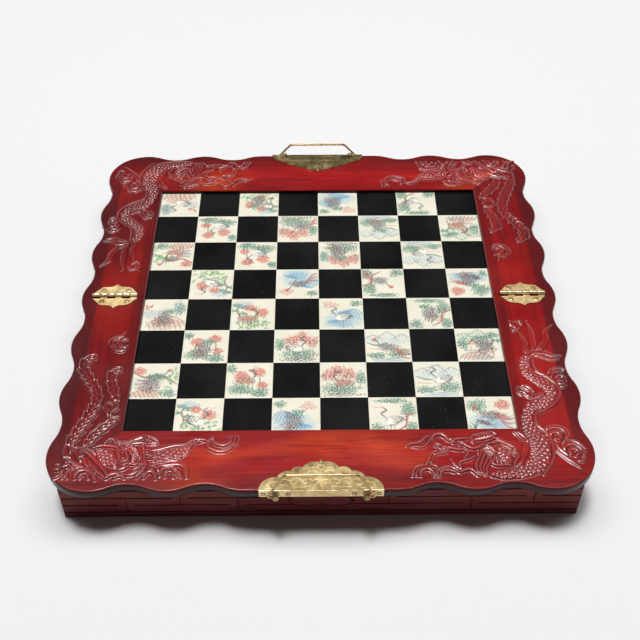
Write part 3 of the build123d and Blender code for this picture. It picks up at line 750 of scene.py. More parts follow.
PHOENIX = (
    ("plume", 1.5, ((-200, -181, 3.4), (-199.4, -168, 5.6), (-194.6, -155, 6.4), (-188.8, -141, 6.8),
        (-185, -126, 6.2), (-187, -115, 6.2), (-193, -105, 6.6), (-198.4, -96, 6.8),
        (-201.4, -88.6, 6.6), (-200.4, -81, 6.4), (-197.4, -77, 5.6), (-195, -75.8, 4.2))),
    ("plume", 1.4, ((-187.6, -176, 3.2), (-184, -166, 5.4), (-178.4, -157, 6), (-171, -149, 5),
        (-165.4, -143, 2.6))),
    ("plume", 1.4, ((-167, -129, 2.2), (-171, -118.6, 5), (-175, -106, 6), (-175.8, -97, 6.2),
        (-173.4, -92.4, 5.4), (-171, -91, 4.4))),
    ("round", 1.08, ((-172.2, -127, 1.1), (-176.2, -129, 2.2), (-176.2, -134.6, 2.4),
        (-173.4, -139.8, 2.4), (-169, -143, 1.9), (-165, -142, 0.81))),
    ("round", 1.08, ((-171.4, -127.4, 1.1), (-167.8, -128.6, 1.9), (-166.6, -133, 1.6),
        (-169.8, -136.2, 1.6), (-171.8, -141, 1.1))),
    ("lock", 1.2, ((-202.6, -173, 1.4), (-201.4, -181, 3.1), (-197.8, -188, 3.6), (-192, -192.6, 2.9),
        (-186.6, -195, 1.2))),
    ("lock", 1.2, ((-195, -174, 1.4), (-192, -180, 3.1), (-187.4, -186, 3.6), (-182.6, -192, 1.9))),
    ("lock", 1.2, ((-191.1, -176.1, 0.9), (-184.1, -179.6, 2), (-177.5, -185.9, 2.7),
        (-170.9, -193.4, 2.7), (-166.2, -201.1, 0.9))),
    ("lock", 1.2, ((-196.7, -173.8, 0.67), (-190.6, -174.2, 1.1), (-184.1, -175.8, 1.6),
        (-177.5, -179.6, 2), (-173.8, -183.1, 0.9))),
    ("lock", 1.2, ((-186.9, -184.1, 0.9), (-182.7, -188.8, 2), (-176.6, -195.3, 2.2),
        (-170.9, -200.9, 1.6), (-167.7, -203.8, 0.67))),
    ("lock", 1.08, ((-200.9, -185, 0.67), (-196.2, -187.8, 2), (-190.8, -191.1, 2.5),
        (-185, -194.4, 1.6), (-180.8, -194.4, 0.67))),
    ("round", 1.2, ((-188.3, -185, 0.63), (-186.4, -186.4, 2), (-184.5, -190.2, 1.8),
        (-183.1, -192.5, 0.63))),
    ("scaled", 1.56, ((-177.5, -176.8, 1.3), (-172.8, -180.3, 5.2), (-167.7, -185, 6.8),
        (-163.4, -189.5, 4.7), (-161.1, -193, 1.7))),
    ("round", 1.2, ((-180.8, -174.9, 1), (-175.2, -172.8, 1.6), (-167.2, -173, 1.8), (-162, -174.5, 1.5),
        (-160.2, -179.6, 1.4), (-158.8, -185, 1.4), (-155.8, -188, 1.8), (-152.4, -186.4, 1.5),
        (-152.9, -181.7, 1.1), (-155, -178.2, 0.76))),
    ("bead", 1.56, ((-155.8, -185.5, 1.6), (-155, -185.9, 1.6))),
    ("round", 1.08, ((-172.3, -170.2, 0.6), (-167.7, -165.5, 1.5), (-163.6, -168.3, 1.5),
        (-159.7, -171.4, 1))),
    ("lock", 1.32, ((-163.9, -166.7, 0.9), (-159.7, -169.2, 1.9), (-153.6, -169.1, 2.2),
        (-147.3, -166.1, 2.5), (-140.5, -163.6, 1.8), (-135.3, -163.2, 0.67))),
    ("lock", 1.2, ((-158.8, -172.3, 0.9), (-152.2, -171.7, 1.6), (-145.6, -170, 1.7),
        (-139.1, -170, 1.7), (-132.5, -171.1, 1.1), (-128.8, -171.1, 0.6))),
    ("frond", 1.2, ((-140.5, -163.9, 0.94), (-136.7, -165.3, 2.8), (-132.5, -167.9, 3.2),
        (-129.2, -170.2, 1.1))),
    ("round", 1.2, ((-140.2, -163.4, 0.76), (-139.4, -168.1, 1), (-140, -171.4, 1), (-142.8, -173.8, 1))),
    ("round", 1.32, ((-140.9, -171.9, 0.76), (-141.1, -176.1, 1.3), (-138.6, -179.6, 1.5),
        (-135.5, -178.6, 1.3), (-136.2, -176.1, 0.63))),
    ("bead", 1.56, ((-137.9, -177.3, 1.3), (-137.4, -177.5, 1.3))),
    ("frond", 1.32, ((-158.8, -177.5, 0.94), (-153.6, -175.2, 2.4), (-149.4, -177, 3.8),
        (-146.1, -182.2, 3.9), (-147, -187.8, 2.2), (-149.4, -191.6, 0.94))),
    ("lock", 1.2, ((-145.2, -172.8, 0.67), (-142.8, -177.5, 1.6), (-140.9, -183.1, 1.8),
        (-140, -189.7, 1.3), (-140.9, -192.5, 0.6))),
    ("round", 1.32, ((-139.5, -181.2, 0.76), (-138.3, -187.8, 1.3), (-137.4, -193.4, 1.4),
        (-140, -199.1, 1.5), (-143.3, -204.5, 0.76))),
    ("lock", 1.32, ((-157.1, -191.8, 0.67), (-154.5, -191.8, 1.8), (-150.3, -189.9, 0.67))),
    ("lock", 1.32, ((-149.4, -192, 0.67), (-145.6, -191.1, 1.6), (-142.6, -189.9, 0.67))),
    ("lock", 1.32, ((-158.9, -197.2, 0.67), (-155, -195.1, 2), (-150.1, -193.6, 0.67))),
    ("lock", 1.32, ((-148, -197.2, 0.67), (-144.2, -195.3, 1.8), (-140, -192.7, 0.67))),
    ("lock", 1.32, ((-150.3, -202.3, 0.67), (-146.1, -200.2, 2), (-140.9, -197.4, 0.67))),
    ("lock", 1.2, ((-160.6, -203.8, 0.6), (-156.9, -200.9, 1.8), (-152.7, -200, 0.67))),
    ("scaled", 1.56, ((-136.4, -185.2, 1.3), (-130.6, -182.9, 4.7), (-123.1, -181.2, 6.4),
        (-115.6, -180.5, 7.3), (-110, -178.4, 5.8), (-105.8, -174.9, 3.4), (-101.1, -170.8, 1.9),
        (-95.47, -168.6, 1.3), (-89.56, -169.2, 0.6))),
    ("round", 1.32, ((-134.6, -178.4, 1), (-127.8, -176.4, 2.8), (-120.8, -174.2, 2.3),
        (-114.2, -173, 2), (-108.1, -172.3, 1.5), (-103.6, -168.9, 1.6), (-97.81, -167, 1.6),
        (-89.84, -168.6, 0.76))),
    ("lock", 1.2, ((-134.4, -190.2, 0.67), (-127.8, -189.5, 1.6), (-119.4, -188.8, 1.8),
        (-113.3, -188, 1.3), (-110, -186.4, 0.6))),
    ("lock", 1.08, ((-132.5, -192, 0.6), (-126.9, -191.8, 1), (-119.4, -191, 0.6))),
    ("round", 1.2, ((-90.12, -170.5, 0.76), (-88.91, -174.9, 1.6), (-83.94, -178, 1.9),
        (-78.88, -179, 1.9), (-73.62, -177.1, 1.9), (-70.06, -172.6, 1.6), (-68.56, -167, 1.3),
        (-69.88, -163.6, 0.63))),
    ("round", 1.2, ((-85.81, -164.8, 0.76), (-85.16, -169.8, 1.6), (-81.12, -172.4, 1.8),
        (-76.25, -173, 1.8), (-72.5, -170.6, 1.6), (-71, -166.1, 1.1), (-73.91, -163.6, 0.63))),
    ("round", 0.96, ((-89.84, -169.1, 0.6), (-87.5, -166.2, 1.3), (-85.44, -164.9, 0.63))),
    ("round", 0.96, ((-66.88, -163.4, 0.63), (-65.38, -167.2, 1.3), (-66.88, -171.4, 1),
        (-69.22, -173.3, 0.6))),
    ("round", 1.08, ((-171.4, -47.4, 0.81), (-173.4, -51.4, 2.2), (-178.6, -53.4, 2.4),
        (-181.8, -57, 2.4), (-181, -63, 2.7), (-176, -68, 2.4), (-170.6, -68.6, 1.9),
        (-167.8, -66, 0.81))),
    ("round", 1.08, ((-168.2, -54.6, 0.81), (-172.6, -55.4, 2.2), (-175, -58.6, 2.4), (-173.8, -63, 2.4),
        (-169.8, -64.6, 1.6), (-167.4, -62.6, 0.81))),
    ("round", 0.84, ((-182.6, -54.6, 0.81), (-183.4, -58.6, 1.4), (-182.2, -63, 0.81))),
    ("bead", 1.56, ((-206, -191.6, 2), (-205.2, -191.6, 2))),
    ("bead", 1.56, ((-206, -195.6, 2), (-205.2, -195.6, 2))),
    ("round", 1.44, ((-200.9, -193.4, 1.5), (-199.1, -192, 2.5), (-197.2, -191.1, 1))),
    ("round", 1.08, ((-206.8, -204.2, 0.63), (-203.9, -201.9, 1.3), (-201.9, -198.6, 1.5),
        (-200.2, -195.8, 0.76))),
    ("round", 1.08, ((-196.7, -204.2, 0.76), (-197.6, -199.8, 1.5), (-196.1, -196.2, 1.3),
        (-194.8, -194.8, 0.6))),
    ("round", 1.08, ((-200.5, -204.2, 0.63), (-200, -201.4, 1.1), (-200.9, -198.9, 0.63))),
    ("round", 1.32, ((-190.8, -204.2, 0.89), (-189.7, -198.9, 1.9), (-185.9, -196.2, 2.4),
        (-180.5, -197.4, 2.3), (-176.8, -201.4, 1.8), (-174.7, -206.1, 0.76))),
    ("round", 0.96, ((-186.9, -204.2, 0.63), (-186.1, -201.4, 1.1), (-183.6, -199.8, 1.1),
        (-181.1, -201.9, 1), (-180.1, -204.7, 0.6))),
    ("round", 1.32, ((-166.7, -204.7, 0.89), (-163.6, -200.9, 2.3), (-159.5, -199.8, 2.3),
        (-156.1, -201.7, 1))),
    ("round", 1.08, ((-160.2, -204.7, 0.76), (-157.6, -202.3, 1.5), (-154.1, -202.6, 1.3),
        (-152.4, -204.7, 0.6))),
    ("round", 1.32, ((-137.4, -204.2, 0.89), (-135.7, -199.5, 2), (-132.5, -197.7, 2.3),
        (-129.5, -200.2, 1.9), (-128, -205.2, 0.89))),
    ("round", 1.08, ((-134.2, -193.4, 0.76), (-130.2, -193, 1.8), (-127.3, -195.3, 1.8),
        (-126.4, -199.1, 0.76))),
    ("round", 1.32, ((-125.5, -202.3, 0.89), (-123.6, -196.2, 1.9), (-118.6, -193.9, 2.5),
        (-113.8, -196.2, 2.2), (-111.7, -201.9, 1))),
    ("round", 1.2, ((-127.1, -193.4, 0.76), (-120.8, -192, 2.2), (-113.8, -191.1, 2.3),
        (-107.9, -192.7, 2.3), (-105.3, -198.1, 1.9), (-104.2, -204.2, 0.89))),
    ("round", 1.08, ((-121.2, -203.8, 0.63), (-120.1, -199.8, 1.3), (-117, -198.3, 1.3),
        (-114.9, -200.9, 1), (-114.5, -204.2, 0.6))),
    ("round", 1.08, ((-112.3, -198.1, 0.63), (-110, -200, 1.5), (-109.1, -203.8, 0.63))),
)

CARVING_CELL = 0.36
LOWEST_CARVED = 0.03  # Anything lower is plain frame
CARVING_LIP = 0.4
PATCHES = {"dragon": ((66, -214), (211, -34)), "phoenix": ((-211, -214), (-64, -46))}


def carved_corner(name, strokes):
    """Low relief of one front corner, as a shape that sits on the frame."""
    cells = Cells(*PATCHES[name], CARVING_CELL)
    height = blurred(carve(cells, strokes), 2)
    carved = height > LOWEST_CARVED
    near = blurred(carved.astype(float), 3)
    # Reach round each figure, over which painted shade darkens the ground beside the figure
    shade_skirt = np.clip(near * 4, 0, 1)
    level = np.where(carved, height, 0.02) * (shade_skirt > 0.3) - 0.05 * (shade_skirt <= 0.3)
    hollow = height - blurred(height, 10)
    # Painted shade in the hollows and round each figure below 0, painted highlight on the ridges above 0
    relief_shade_and_highlight = np.clip(hollow / 0.35, -1, 1) * shade_skirt
    shape = bmesh.new()
    raise_cells(shape, cells, RAIL_TOP + level, near > 0.005, relief_shade_and_highlight)
    shade(shape)
    lip_down(shape, CARVING_LIP)
    return shape


def past_flat(place):
    """Whether a place on the frame is past the flat part of its rail."""
    return abs(place.x) > OPEN_X + FLAT_WIDTH or abs(place.y) > OPEN_Y + FLAT_WIDTH


def on_rim(edge):
    """Whether an edge is on the wavy rim, and not on a mitre or at the fold."""
    middle = (edge.verts[0].co + edge.verts[1].co) / 2
    run = edge.verts[1].co - edge.verts[0].co
    off_mitre = abs(middle.x) - OPEN_X - (abs(middle.y) - OPEN_Y)
    on_mitre = abs(off_mitre) < 0.05 and abs(abs(run.x) - abs(run.y)) < 0.01
    return middle.z > RAIL_TOP - 0.01 and past_flat(middle) and not on_mitre and abs(middle.y) > 0.5


def rounded_rail(half, rail):
    """Frame rail with its wavy rim rounded over."""
    node = f"{half}_{rail}"
    shape = in_millimetres(cad[node].data, 0.002)
    bmesh.ops.dissolve_limit(
        shape, angle_limit=radians(0.5), verts=shape.verts, edges=shape.edges, use_dissolve_boundaries=False
    )
    round_edges(shape, [edge for edge in shape.edges if on_rim(edge)], 1.3, 4)
    shape.normal_update()
    for face in shape.faces:
        face.smooth = past_flat(face.calc_center_median()) and face.normal.z < 0.999
        face.material_index = int(face.normal.z < 0.6)
    made = piece(
        f"{half}_rounded_{rail}", shape, FINISHES["red_lacquer"], f"{half}_half", [node]
    )
    made.data.materials.append(FINISHES["edge_lacquer"])


def carvings():
    """Dragon and phoenix of each half, duller on the rear one."""
    front_lacquer = lacquer("front_carved_lacquer", coat=0.9, carved=True)
    rear_lacquer = lacquer("rear_carved_lacquer", coat=0.6, carved=True)
    for name, strokes in (("dragon", DRAGON), ("phoenix", PHOENIX)):
        shape = carved_corner(name, strokes)
        turned_round = shape.copy()
        turn_round(turned_round)
        piece(f"front_{name}_carving", shape, front_lacquer, "front_half")
        piece(f"rear_{name}_carving", turned_round, rear_lacquer, "rear_half")


# ---- Tiles ----

SQUARE = 40.0
TILE_SIDE = 39.86
TILE_EDGE = 0.1
PICTURE_CELLS = 76
PLAIN_MARGIN = 0.3
SUBJECT_PLACE = (18, 17)
SUBJECT_SIZE = 8.5


def tile_places(half, shade_number):
    """Middles of a half's tiles of one shade. The left front corner square is shade 0."""
    rows = range(4) if half == "front" else range(4, 8)
    return [
        ((column - 3.5) * SQUARE, (row - 3.5) * SQUARE)
        for row in rows for column in range(8) if (column + row) % 2 == shade_number
    ]


def black_tiles(half):
    """Black tiles of one half, with their upper edges rounded."""
    shape = bmesh.new()
    for x, y in tile_places(half, 0):
        size = Matrix.Diagonal((TILE_SIDE, TILE_SIDE, TILE_THICK, 1))
        place = Matrix.Translation((x, y, TILE_TOP - TILE_THICK / 2))
        bmesh.ops.create_cube(shape, size=1, matrix=place @ size)
    top = [edge for edge in shape.edges if all(vert.co.z > TILE_TOP - 1 for vert in edge.verts)]
    round_edges(shape, top, TILE_EDGE)
    piece(
        f"{half}_black_squares", shape, FINISHES["black_tile"], f"{half}_half",
        [f"{half}_black_tiles"],
    )


CREAM = (0.94, 0.90, 0.74)
INK = {
    "grey": (0.10, 0.09, 0.095), "green": (0.06, 0.26, 0.17), "pale_green": (0.25, 0.51, 0.38),
    "leaf_green": (0.25, 0.52, 0.16), "coral": (0.74, 0.15, 0.10), "pink": (0.76, 0.36, 0.29),
    "blue": (0.15, 0.40, 0.60), "pale_blue": (0.40, 0.63, 0.72), "brown": (0.30, 0.13, 0.08),
    "white": (0.88, 0.85, 0.76), "pale_grey": (0.45, 0.43, 0.42),
}


def spots(x, y, wide, high, *shares):
    """Places round a middle, from shares of a width and a height."""
    return [(x + wide * a, y + high * b) for a, b in shares]


class Picture:
    """A small brush painting on one tile, drawn in millimetres from the tile's left front corner."""

    def __init__(self, seed, mirrored):
        self.cells = Cells((0, 0), (TILE_SIDE, TILE_SIDE), TILE_SIDE / PICTURE_CELLS)
        self.random = np.random.default_rng(seed)
        self.colour = np.tile(np.array(CREAM), (*self.cells.x.shape, 1))
        self.mirrored = mirrored
        grain = self.random.random(self.cells.x.shape)
        self.dry = 0.5 + 0.9 * blurred(grain, 1)
        tooth = blurred(grain, 1) - blurred(grain, 6)
        self.tooth = tooth / tooth.std()
        x, y = self.cells.x, self.cells.y
        edge = np.minimum(np.minimum(x, TILE_SIDE - x), np.minimum(y, TILE_SIDE - y))
        self.margin = np.clip(edge - PLAIN_MARGIN, 0, 1)

    def lay(self, cover, ink, strength):
        """Lays ink over the picture, thinner where the brush runs dry."""
        cover = (np.clip(cover, 0, 1) * self.margin * np.clip(self.dry, 0.3, 1) * strength)[..., None]
        self.colour = self.colour * (1 - cover) + np.array(INK[ink]) * cover

    def flip(self, x):
        """The same place on a mirrored picture."""
        return TILE_SIDE - x if self.mirrored else x

    def away(self, x, y):
        """Distances of the cells from a place."""
        return self.cells.x - self.flip(x), self.cells.y - y

    def swung(self, away_x, away_y, turn):
        """Distances along a direction and across it."""
        turn = -turn if self.mirrored else turn
        return away_x * cos(turn) + away_y * sin(turn), away_y * cos(turn) - away_x * sin(turn)

    def blot(self, x, y, wide, high, ink, strength=0.7, ragged=0.25, turn=0.0):
        """Patch of wash with a ragged edge."""
        along, across = self.swung(*self.away(x, y), turn)
        along, across = along / wide, across / high
        angle = np.arctan2(across, along)
        first, second = self.random.uniform(0, 2 * pi, 2)
        waves = 0.5 * np.sin(3 * angle + first) + 0.3 * np.sin(7 * angle + second) + 0.5 * self.tooth
        self.lay((1 + ragged * waves - np.hypot(along, across)) / 0.3, ink, strength)

    def line(self, points, width, ink, strength=0.9):
        """Brush line that thins towards its ends."""
        widths = [0.5 * width, *[width] * (len(points) - 2), 0.5 * width]
        rows = [(self.flip(x), y, wide) for (x, y), wide in zip(points, widths)]
        _, across, half, near = self.cells.band(rows, past=0.5)
        self.lay(np.where(near, 1.3 - np.abs(across) / half, 0), ink, strength)

    def spray(self, x, y, spread, count, size, ink, strength=0.8):
        """Many small dabs round a place."""
        for _ in range(count):
            dx, dy = self.random.normal(0, spread, 2)
            turn = self.random.uniform(0, pi)
            self.blot(x + dx, y + dy, size, 0.45 * size, ink, strength, 0.15, turn)

    def hatch(self, x, y, wide, high, ink, strength=0.8, pitch=1.5, turn=0.6):
        """Ragged patch of short slanting strokes."""
        away_x, away_y = self.away(x, y)
        angle = np.arctan2(away_y / high, away_x / wide)
        first, second = self.random.uniform(0, 2 * pi, 2)
        edge = 1 + 0.12 * np.sin(3 * angle + first) + 0.08 * np.sin(7 * angle + second) + 0.12 * self.tooth
        reach = np.clip((edge - np.hypot(away_x / wide, away_y / high)) / 0.25, 0, 1)
        along, across = self.swung(away_x, away_y, turn)
        sway = 1.2 * np.sin(along / 1.9 + first) + 0.9 * np.sin(along / 0.8 + second)
        strokes = 0.3 + 0.9 * np.sin(2 * pi * across / (1.5 * pitch) + sway) + 0.45 * self.tooth
        self.lay(1.3 * reach * np.clip(strokes, 0, 1), ink, strength)

    # What the pictures show

    def water(self, y, ink, rows):
        """Rows of ripples."""
        for step in range(rows):
            low = y + 1.7 * step
            start = self.random.uniform(0, 8)
            line = [(start, low), (start + 9, low + 0.9), (start + 19, low - 0.3), (start + 29, low + 0.7)]
            self.line(line, 0.55, ink, 0.85)

    def hills(self, y, ink="pale_blue"):
        """Three distant hills in a row."""
        for x, wide, high in ((8, 10, 6), (21, 11, 9), (33, 9, 5)):
            self.hatch(x, y, wide, high, ink, 0.6, 2.2, 1.1)
            ridge = [(x - wide, y - 1), (x - 2, y + high), (x + 3, y + 0.7 * high), (x + wide, y - 1)]
            self.line(ridge, 0.5, "grey", 0.6)

    def bank(self, x, y, wide, high):
        """Slope of rock in long strokes that run down to one side."""
        self.blot(x, y, wide, high, "pink", 0.55, 0.15)
        for share in np.linspace(-0.9, 0.9, 8):
            low, top = y - 0.9 * high, y + high * (1 - 0.8 * abs(share))
            start = x + share * wide
            middle = (start + 0.05 * wide, (low + top) / 2)
            self.line([(start + 0.15 * wide, low), middle, (start - 0.12 * wide, top)], 0.55, "brown", 0.75)
        self.line(spots(x, y, wide, high, (-1, -0.5), (-0.4, 0.8), (0.4, 0.9), (1, 0)), 0.5, "brown")

    def foliage(self, x, y, wide, high, wash="pale_green", ink="green"):
        """Leafy mass: a wash, strokes over it and a few darker ones in ink."""
        lean = self.random.uniform(0.2, 1.2)
        self.blot(x, y, 0.9 * wide, 0.9 * high, wash, 0.6, 0.3)
        self.hatch(x, y, wide, high, ink, 0.9, 1.4, lean)
        self.hatch(x + 0.2 * wide, y - 0.25 * high, 0.7 * wide, 0.6 * high, "grey", 0.55, 1.8, lean + 0.7)

    def tree(self, x, y, tall):
        """Bent trunk with four leafy masses."""
        trunk = [(x, y), (x + 2, y + 0.4 * tall), (x - 0.5, y + 0.7 * tall), (x + 1.5, y + tall)]
        self.line(trunk, 1.0, "brown", 0.85)
        self.line([(x + 1.2, y + 0.45 * tall), (x + 5, y + 0.7 * tall)], 0.6, "brown", 0.8)
        for share, side, wide in ((0.55, 5, 5), (0.72, -5, 5.5), (0.9, 4.5, 6), (1.02, -1.5, 6)):
            self.foliage(x + side, y + share * tall, wide, 0.42 * wide)

    def reeds(self, x, y):
        """Tuft of reeds."""
        for _ in range(9):
            lean = self.random.uniform(-6, 6)
            foot = x + self.random.uniform(-3, 3)
            tall = self.random.uniform(5, 10)
            reed = [(foot, y), (foot + 0.3 * lean, y + 0.6 * tall), (foot + lean, y + tall)]
            self.line(reed, 0.5, "green", 0.85)

    def bloom(self, x, y, size):
        """Full flower of ragged petals."""
        self.blot(x, y, size, 0.85 * size, "pink", 0.75, 0.25)
        for turn in np.arange(0, 2 * pi, pi / 3.5) + self.random.uniform(0, 1):
            petal_x, petal_y = x + 0.6 * size * cos(turn), y + 0.5 * size * sin(turn)
            self.hatch(petal_x, petal_y, 0.5 * size, 0.4 * size, "coral", 0.8, 1.2, turn)
        self.spray(x, y, 0.3 * size, 5, 0.6, "grey", 0.7)

    def broad_leaves(self, x, y, spread):
        """Mass of broad leaves, dabbed in two greens."""
        self.spray(x, y, spread, 12, 3.2, "leaf_green", 0.65)
        self.spray(x, y, 0.9 * spread, 8, 2.0, "green", 0.7)

    def branch(self, points, ink="brown"):
        """Branch with a grey line along its lower side."""
        self.line(points, 1.1, ink, 0.85)
        self.line([(x + 0.5, y - 0.8) for x, y in points], 0.5, "grey", 0.7)

    def long_tailed_bird(self, x, y, size):
        """Bird with its back hatched in ink and three tail plumes."""
        self.blot(x, y, size, 0.55 * size, "pale_grey", 0.8, 0.1, 0.3)
        self.hatch(x - 0.1 * size, y, 1.1 * size, 0.6 * size, "grey", 0.9, 1.4, 0.5)
        self.line(spots(x, y, size, size, (0.7, 0.3), (1.1, 0.9), (1.5, 0.95)), 0.8, "grey")
        self.blot(x + 1.25 * size, y + 1.05 * size, 0.3 * size, 0.26 * size, "coral", 0.9, 0.05)
        for sweep in (0.0, 0.45, 0.9):
            tail = spots(x, y, size, size, (-0.8, -0.2), (-1.6, -(0.5 + sweep)), (-2.5, -(0.3 + 1.5 * sweep)))
            self.line(tail, 0.8, "coral", 0.85)
            self.line([(a, b - 0.9) for a, b in tail], 0.4, "grey", 0.7)

    def wader(self, x, y, size):
        """Standing bird with a bent neck, long bill and thin legs."""
        self.blot(x, y, 1.05 * size, 0.62 * size, "grey", 0.75, 0.1, -0.4)
        self.blot(x + 0.1 * size, y, 0.92 * size, 0.5 * size, "white", 1.4, 0.08, -0.4)
        self.hatch(x - 0.4 * size, y + 0.1 * size, 0.7 * size, 0.4 * size, "grey", 0.9, 1.3, -0.9)
        neck = spots(x, y, size, size, (0.7, 0.3), (1.2, 0.9), (0.7, 1.3), (1.1, 1.7))
        self.line(neck, 0.9, "grey")
        self.line([neck[-1], *spots(x, y, size, size, (1.9, 1.65))], 0.5, "coral")
        for step in (0.0, 0.35):
            self.line(spots(x, y, size, size, (step, -0.4), (step, -1.6)), 0.45, "grey")

    def deer(self, x, y, size):
        """Standing deer looking back, in ink hatching."""
        self.blot(x, y, size, 0.5 * size, "pink", 0.9, 0.1)
        self.hatch(x, y, 1.1 * size, 0.56 * size, "brown", 0.9, 1.4, 1.0)
        self.line(spots(x, y, size, size, (0.7, 0.2), (1, 0.8), (0.8, 1.3)), 1.1, "grey")
        self.blot(x + 0.6 * size, y + 1.35 * size, 0.4 * size, 0.22 * size, "brown", 0.9, 0.1)
        for lean in (0.1, 0.5):
            self.line(spots(x, y, size, size, (0.8, 1.45), (0.8 + lean, 2.0)), 0.5, "brown")
        for foot in (-0.8, -0.5, 0.4, 0.75):
            self.line(spots(x, y, size, size, (foot, -0.2), (foot - 0.05, -1.15)), 0.7, "grey")

    def crag(self, x, y, size):
        """Tall weathered rock with a small tree on it."""
        self.blot(x, y, 0.8 * size, 1.1 * size, "pale_grey", 0.8, 0.25)
        self.hatch(x, y, 0.95 * size, 1.25 * size, "grey", 1.0, 1.4, 1.2)
        self.hatch(x - 0.5 * size, y - 0.6 * size, 0.8 * size, 0.5 * size, "brown", 0.8, 1.2, 0.2)
        self.foliage(x + 0.5 * size, y + 1.1 * size, 0.7 * size, 0.4 * size)

    def fish(self, x, y, size, ink="coral"):
        """Fish with a forked tail."""
        self.blot(x, y, size, 0.36 * size, ink, 0.8, 0.08, 0.4)
        self.hatch(x, y, 0.9 * size, 0.34 * size, "brown", 0.6, 1.0, 1.2)
        for tip in ((-1.4, -0.1), (-1.3, -0.8)):
            self.line(spots(x, y, size, size, (-0.8, -0.35), tip), 0.8, ink)

    def crests(self, x, y, size):
        """Curling waves, one behind another."""
        self.blot(x + 2, y, 1.1 * size, 0.8 * size, "pale_blue", 0.5, 0.3)
        for step in range(6):
            grow = size * (1 - 0.1 * step)
            crest = (-1, -0.7), (-0.6, 0.4), (0.1, 0.85), (0.6, 0.4), (0.3, 0)
            self.line(spots(x + 2.4 * step, y, grow, grow, *crest), 0.7, "blue", 0.85)

    def hut(self, x, y, size):
        """Open hut with a hipped roof and thin posts."""
        self.hatch(x, y + 1.15 * size, 0.9 * size, 0.34 * size, "coral", 0.85, 1.1, 1.5)
        roof = (-1.1, 0.8), (-0.4, 1), (0, 1.6), (0.4, 1), (1.1, 0.8)
        self.line(spots(x, y, size, size, *roof), 0.8, "grey")
        for side in (-0.7, -0.25, 0.25, 0.7):
            self.line(spots(x, y, size, size, (side, 0), (side, 0.9)), 0.5, "brown")
        self.line(spots(x, y, size, size, (-1, 0), (1, 0)), 0.8, "grey")


# ---- Paintings ----


def painted_garden(picture):
    """Garden tree over broad leaves and blooms."""
    picture.broad_leaves(14, 9, 6)
    picture.broad_leaves(28, 8, 6)
    picture.tree(6, 8, 23)
    picture.bloom(28, 22, 6.5)
    picture.bloom(17, 28, 5)
    picture.hatch(12, 33, 8, 4, "blue", 0.7)


def painted_shore(picture):
    """Hills across the water."""
    picture.hills(27)
    picture.water(1, "blue", 3)
    picture.foliage(10, 11, 11, 6)
    picture.foliage(30, 8, 10, 4)
    picture.line([(24, 19), (31, 20), (38, 23)], 1.0, "green")
    picture.line([(26, 15), (37, 16)], 0.7, "coral")


def painted_bird(picture):
    """Bird on a branch over a bank."""
    picture.branch([(0, 30), (11, 24), (23, 26), (39, 16)])
    picture.long_tailed_bird(22, 24, 7.5)
    picture.bloom(6, 31, 5.5)
    picture.broad_leaves(33, 23, 5)
    picture.bank(13, 5, 14, 5)
    picture.foliage(32, 6, 7, 5)
    picture.hatch(8, 17, 7, 5, "blue", 0.7)


def painted_waves(picture):
    """Curling waves, with leaves above them."""
    picture.blot(19, 12, 20, 12, "pale_blue", 0.6, 0.2)
    picture.crests(8, 18, 9)
    picture.crests(18, 7, 8)
    picture.hatch(30, 31, 7, 5, "coral", 0.8)
    picture.foliage(6, 33, 6, 4)


def painted_hut(picture):
    """Hut on a bank under hills."""
    picture.hills(29, "pale_green")
    picture.hut(25, 13, 8.5)
    picture.tree(8, 8, 23)
    picture.bank(23, 6, 15, 5)
    picture.foliage(34, 22, 5, 8)
    picture.hatch(18, 5, 9, 3, "blue", 0.7)


def painted_lotus(picture):
    """Three blooms on tall stems."""
    for x, y, size in ((13, 25, 6.5), (28, 29, 6), (31, 14, 5)):
        picture.line([(x, 3), (x + 1, 0.6 * y), (x, y)], 0.7, "green")
        picture.bloom(x, y, size)
    picture.foliage(12, 10, 11, 6)
    picture.foliage(28, 6, 10, 5)
    picture.foliage(4, 33, 5, 5)


def painted_branch(picture):
    """Bare branch between leafy masses."""
    picture.foliage(7, 27, 7, 9)
    picture.foliage(20, 36, 14, 3)
    picture.branch([(0, 24), (8, 20), (10, 10), (18, 4)], "coral")
    picture.foliage(5, 7, 6, 7)
    picture.foliage(33, 6, 7, 6)


def painted_cliff(picture):
    """Bank of rock with leaves above it."""
    picture.bank(22, 9, 18, 9)
    picture.hatch(8, 21, 7, 6, "blue", 0.7)
    picture.foliage(33, 28, 6, 9, "pale_blue", "green")
    picture.spray(6, 30, 2.5, 8, 2.0, "coral")


def painted_grove(picture):
    """Three pale trunks with pink crowns."""
    picture.foliage(22, 10, 17, 7)
    for x, tall in ((15, 15), (24, 19), (33, 14)):
        picture.foliage(x, 11 + tall, 7, 7, "pink", "coral")
        picture.line([(x, 9), (x + 0.5, 11 + tall)], 1.0, "white", 0.9)
        picture.line([(x + 1, 9), (x + 1.5, 10 + tall)], 0.5, "brown", 0.9)
    picture.foliage(5, 22, 5, 8)
    picture.hatch(22, 3, 17, 2.6, "grey", 1.0)


def painted_pond(picture):
    """Two fish among ripples and reeds."""
    picture.blot(20, 13, 19, 9, "pale_blue", 0.5, 0.2)
    picture.water(6, "blue", 8)
    picture.fish(13, 20, 8)
    picture.fish(26, 12, 7.5, "grey")
    picture.foliage(30, 30, 9, 8)
    picture.bloom(9, 31, 6.5)
    picture.reeds(34, 3)


SUBJECTS = (Picture.wader, Picture.deer, Picture.crag, Picture.long_tailed_bird, Picture.wader, Picture.crag)
PAINTERS = (
    painted_garden, painted_shore, painted_bird, painted_waves, painted_hut,
    painted_lotus, painted_branch, painted_cliff, painted_grove, painted_pond,
)


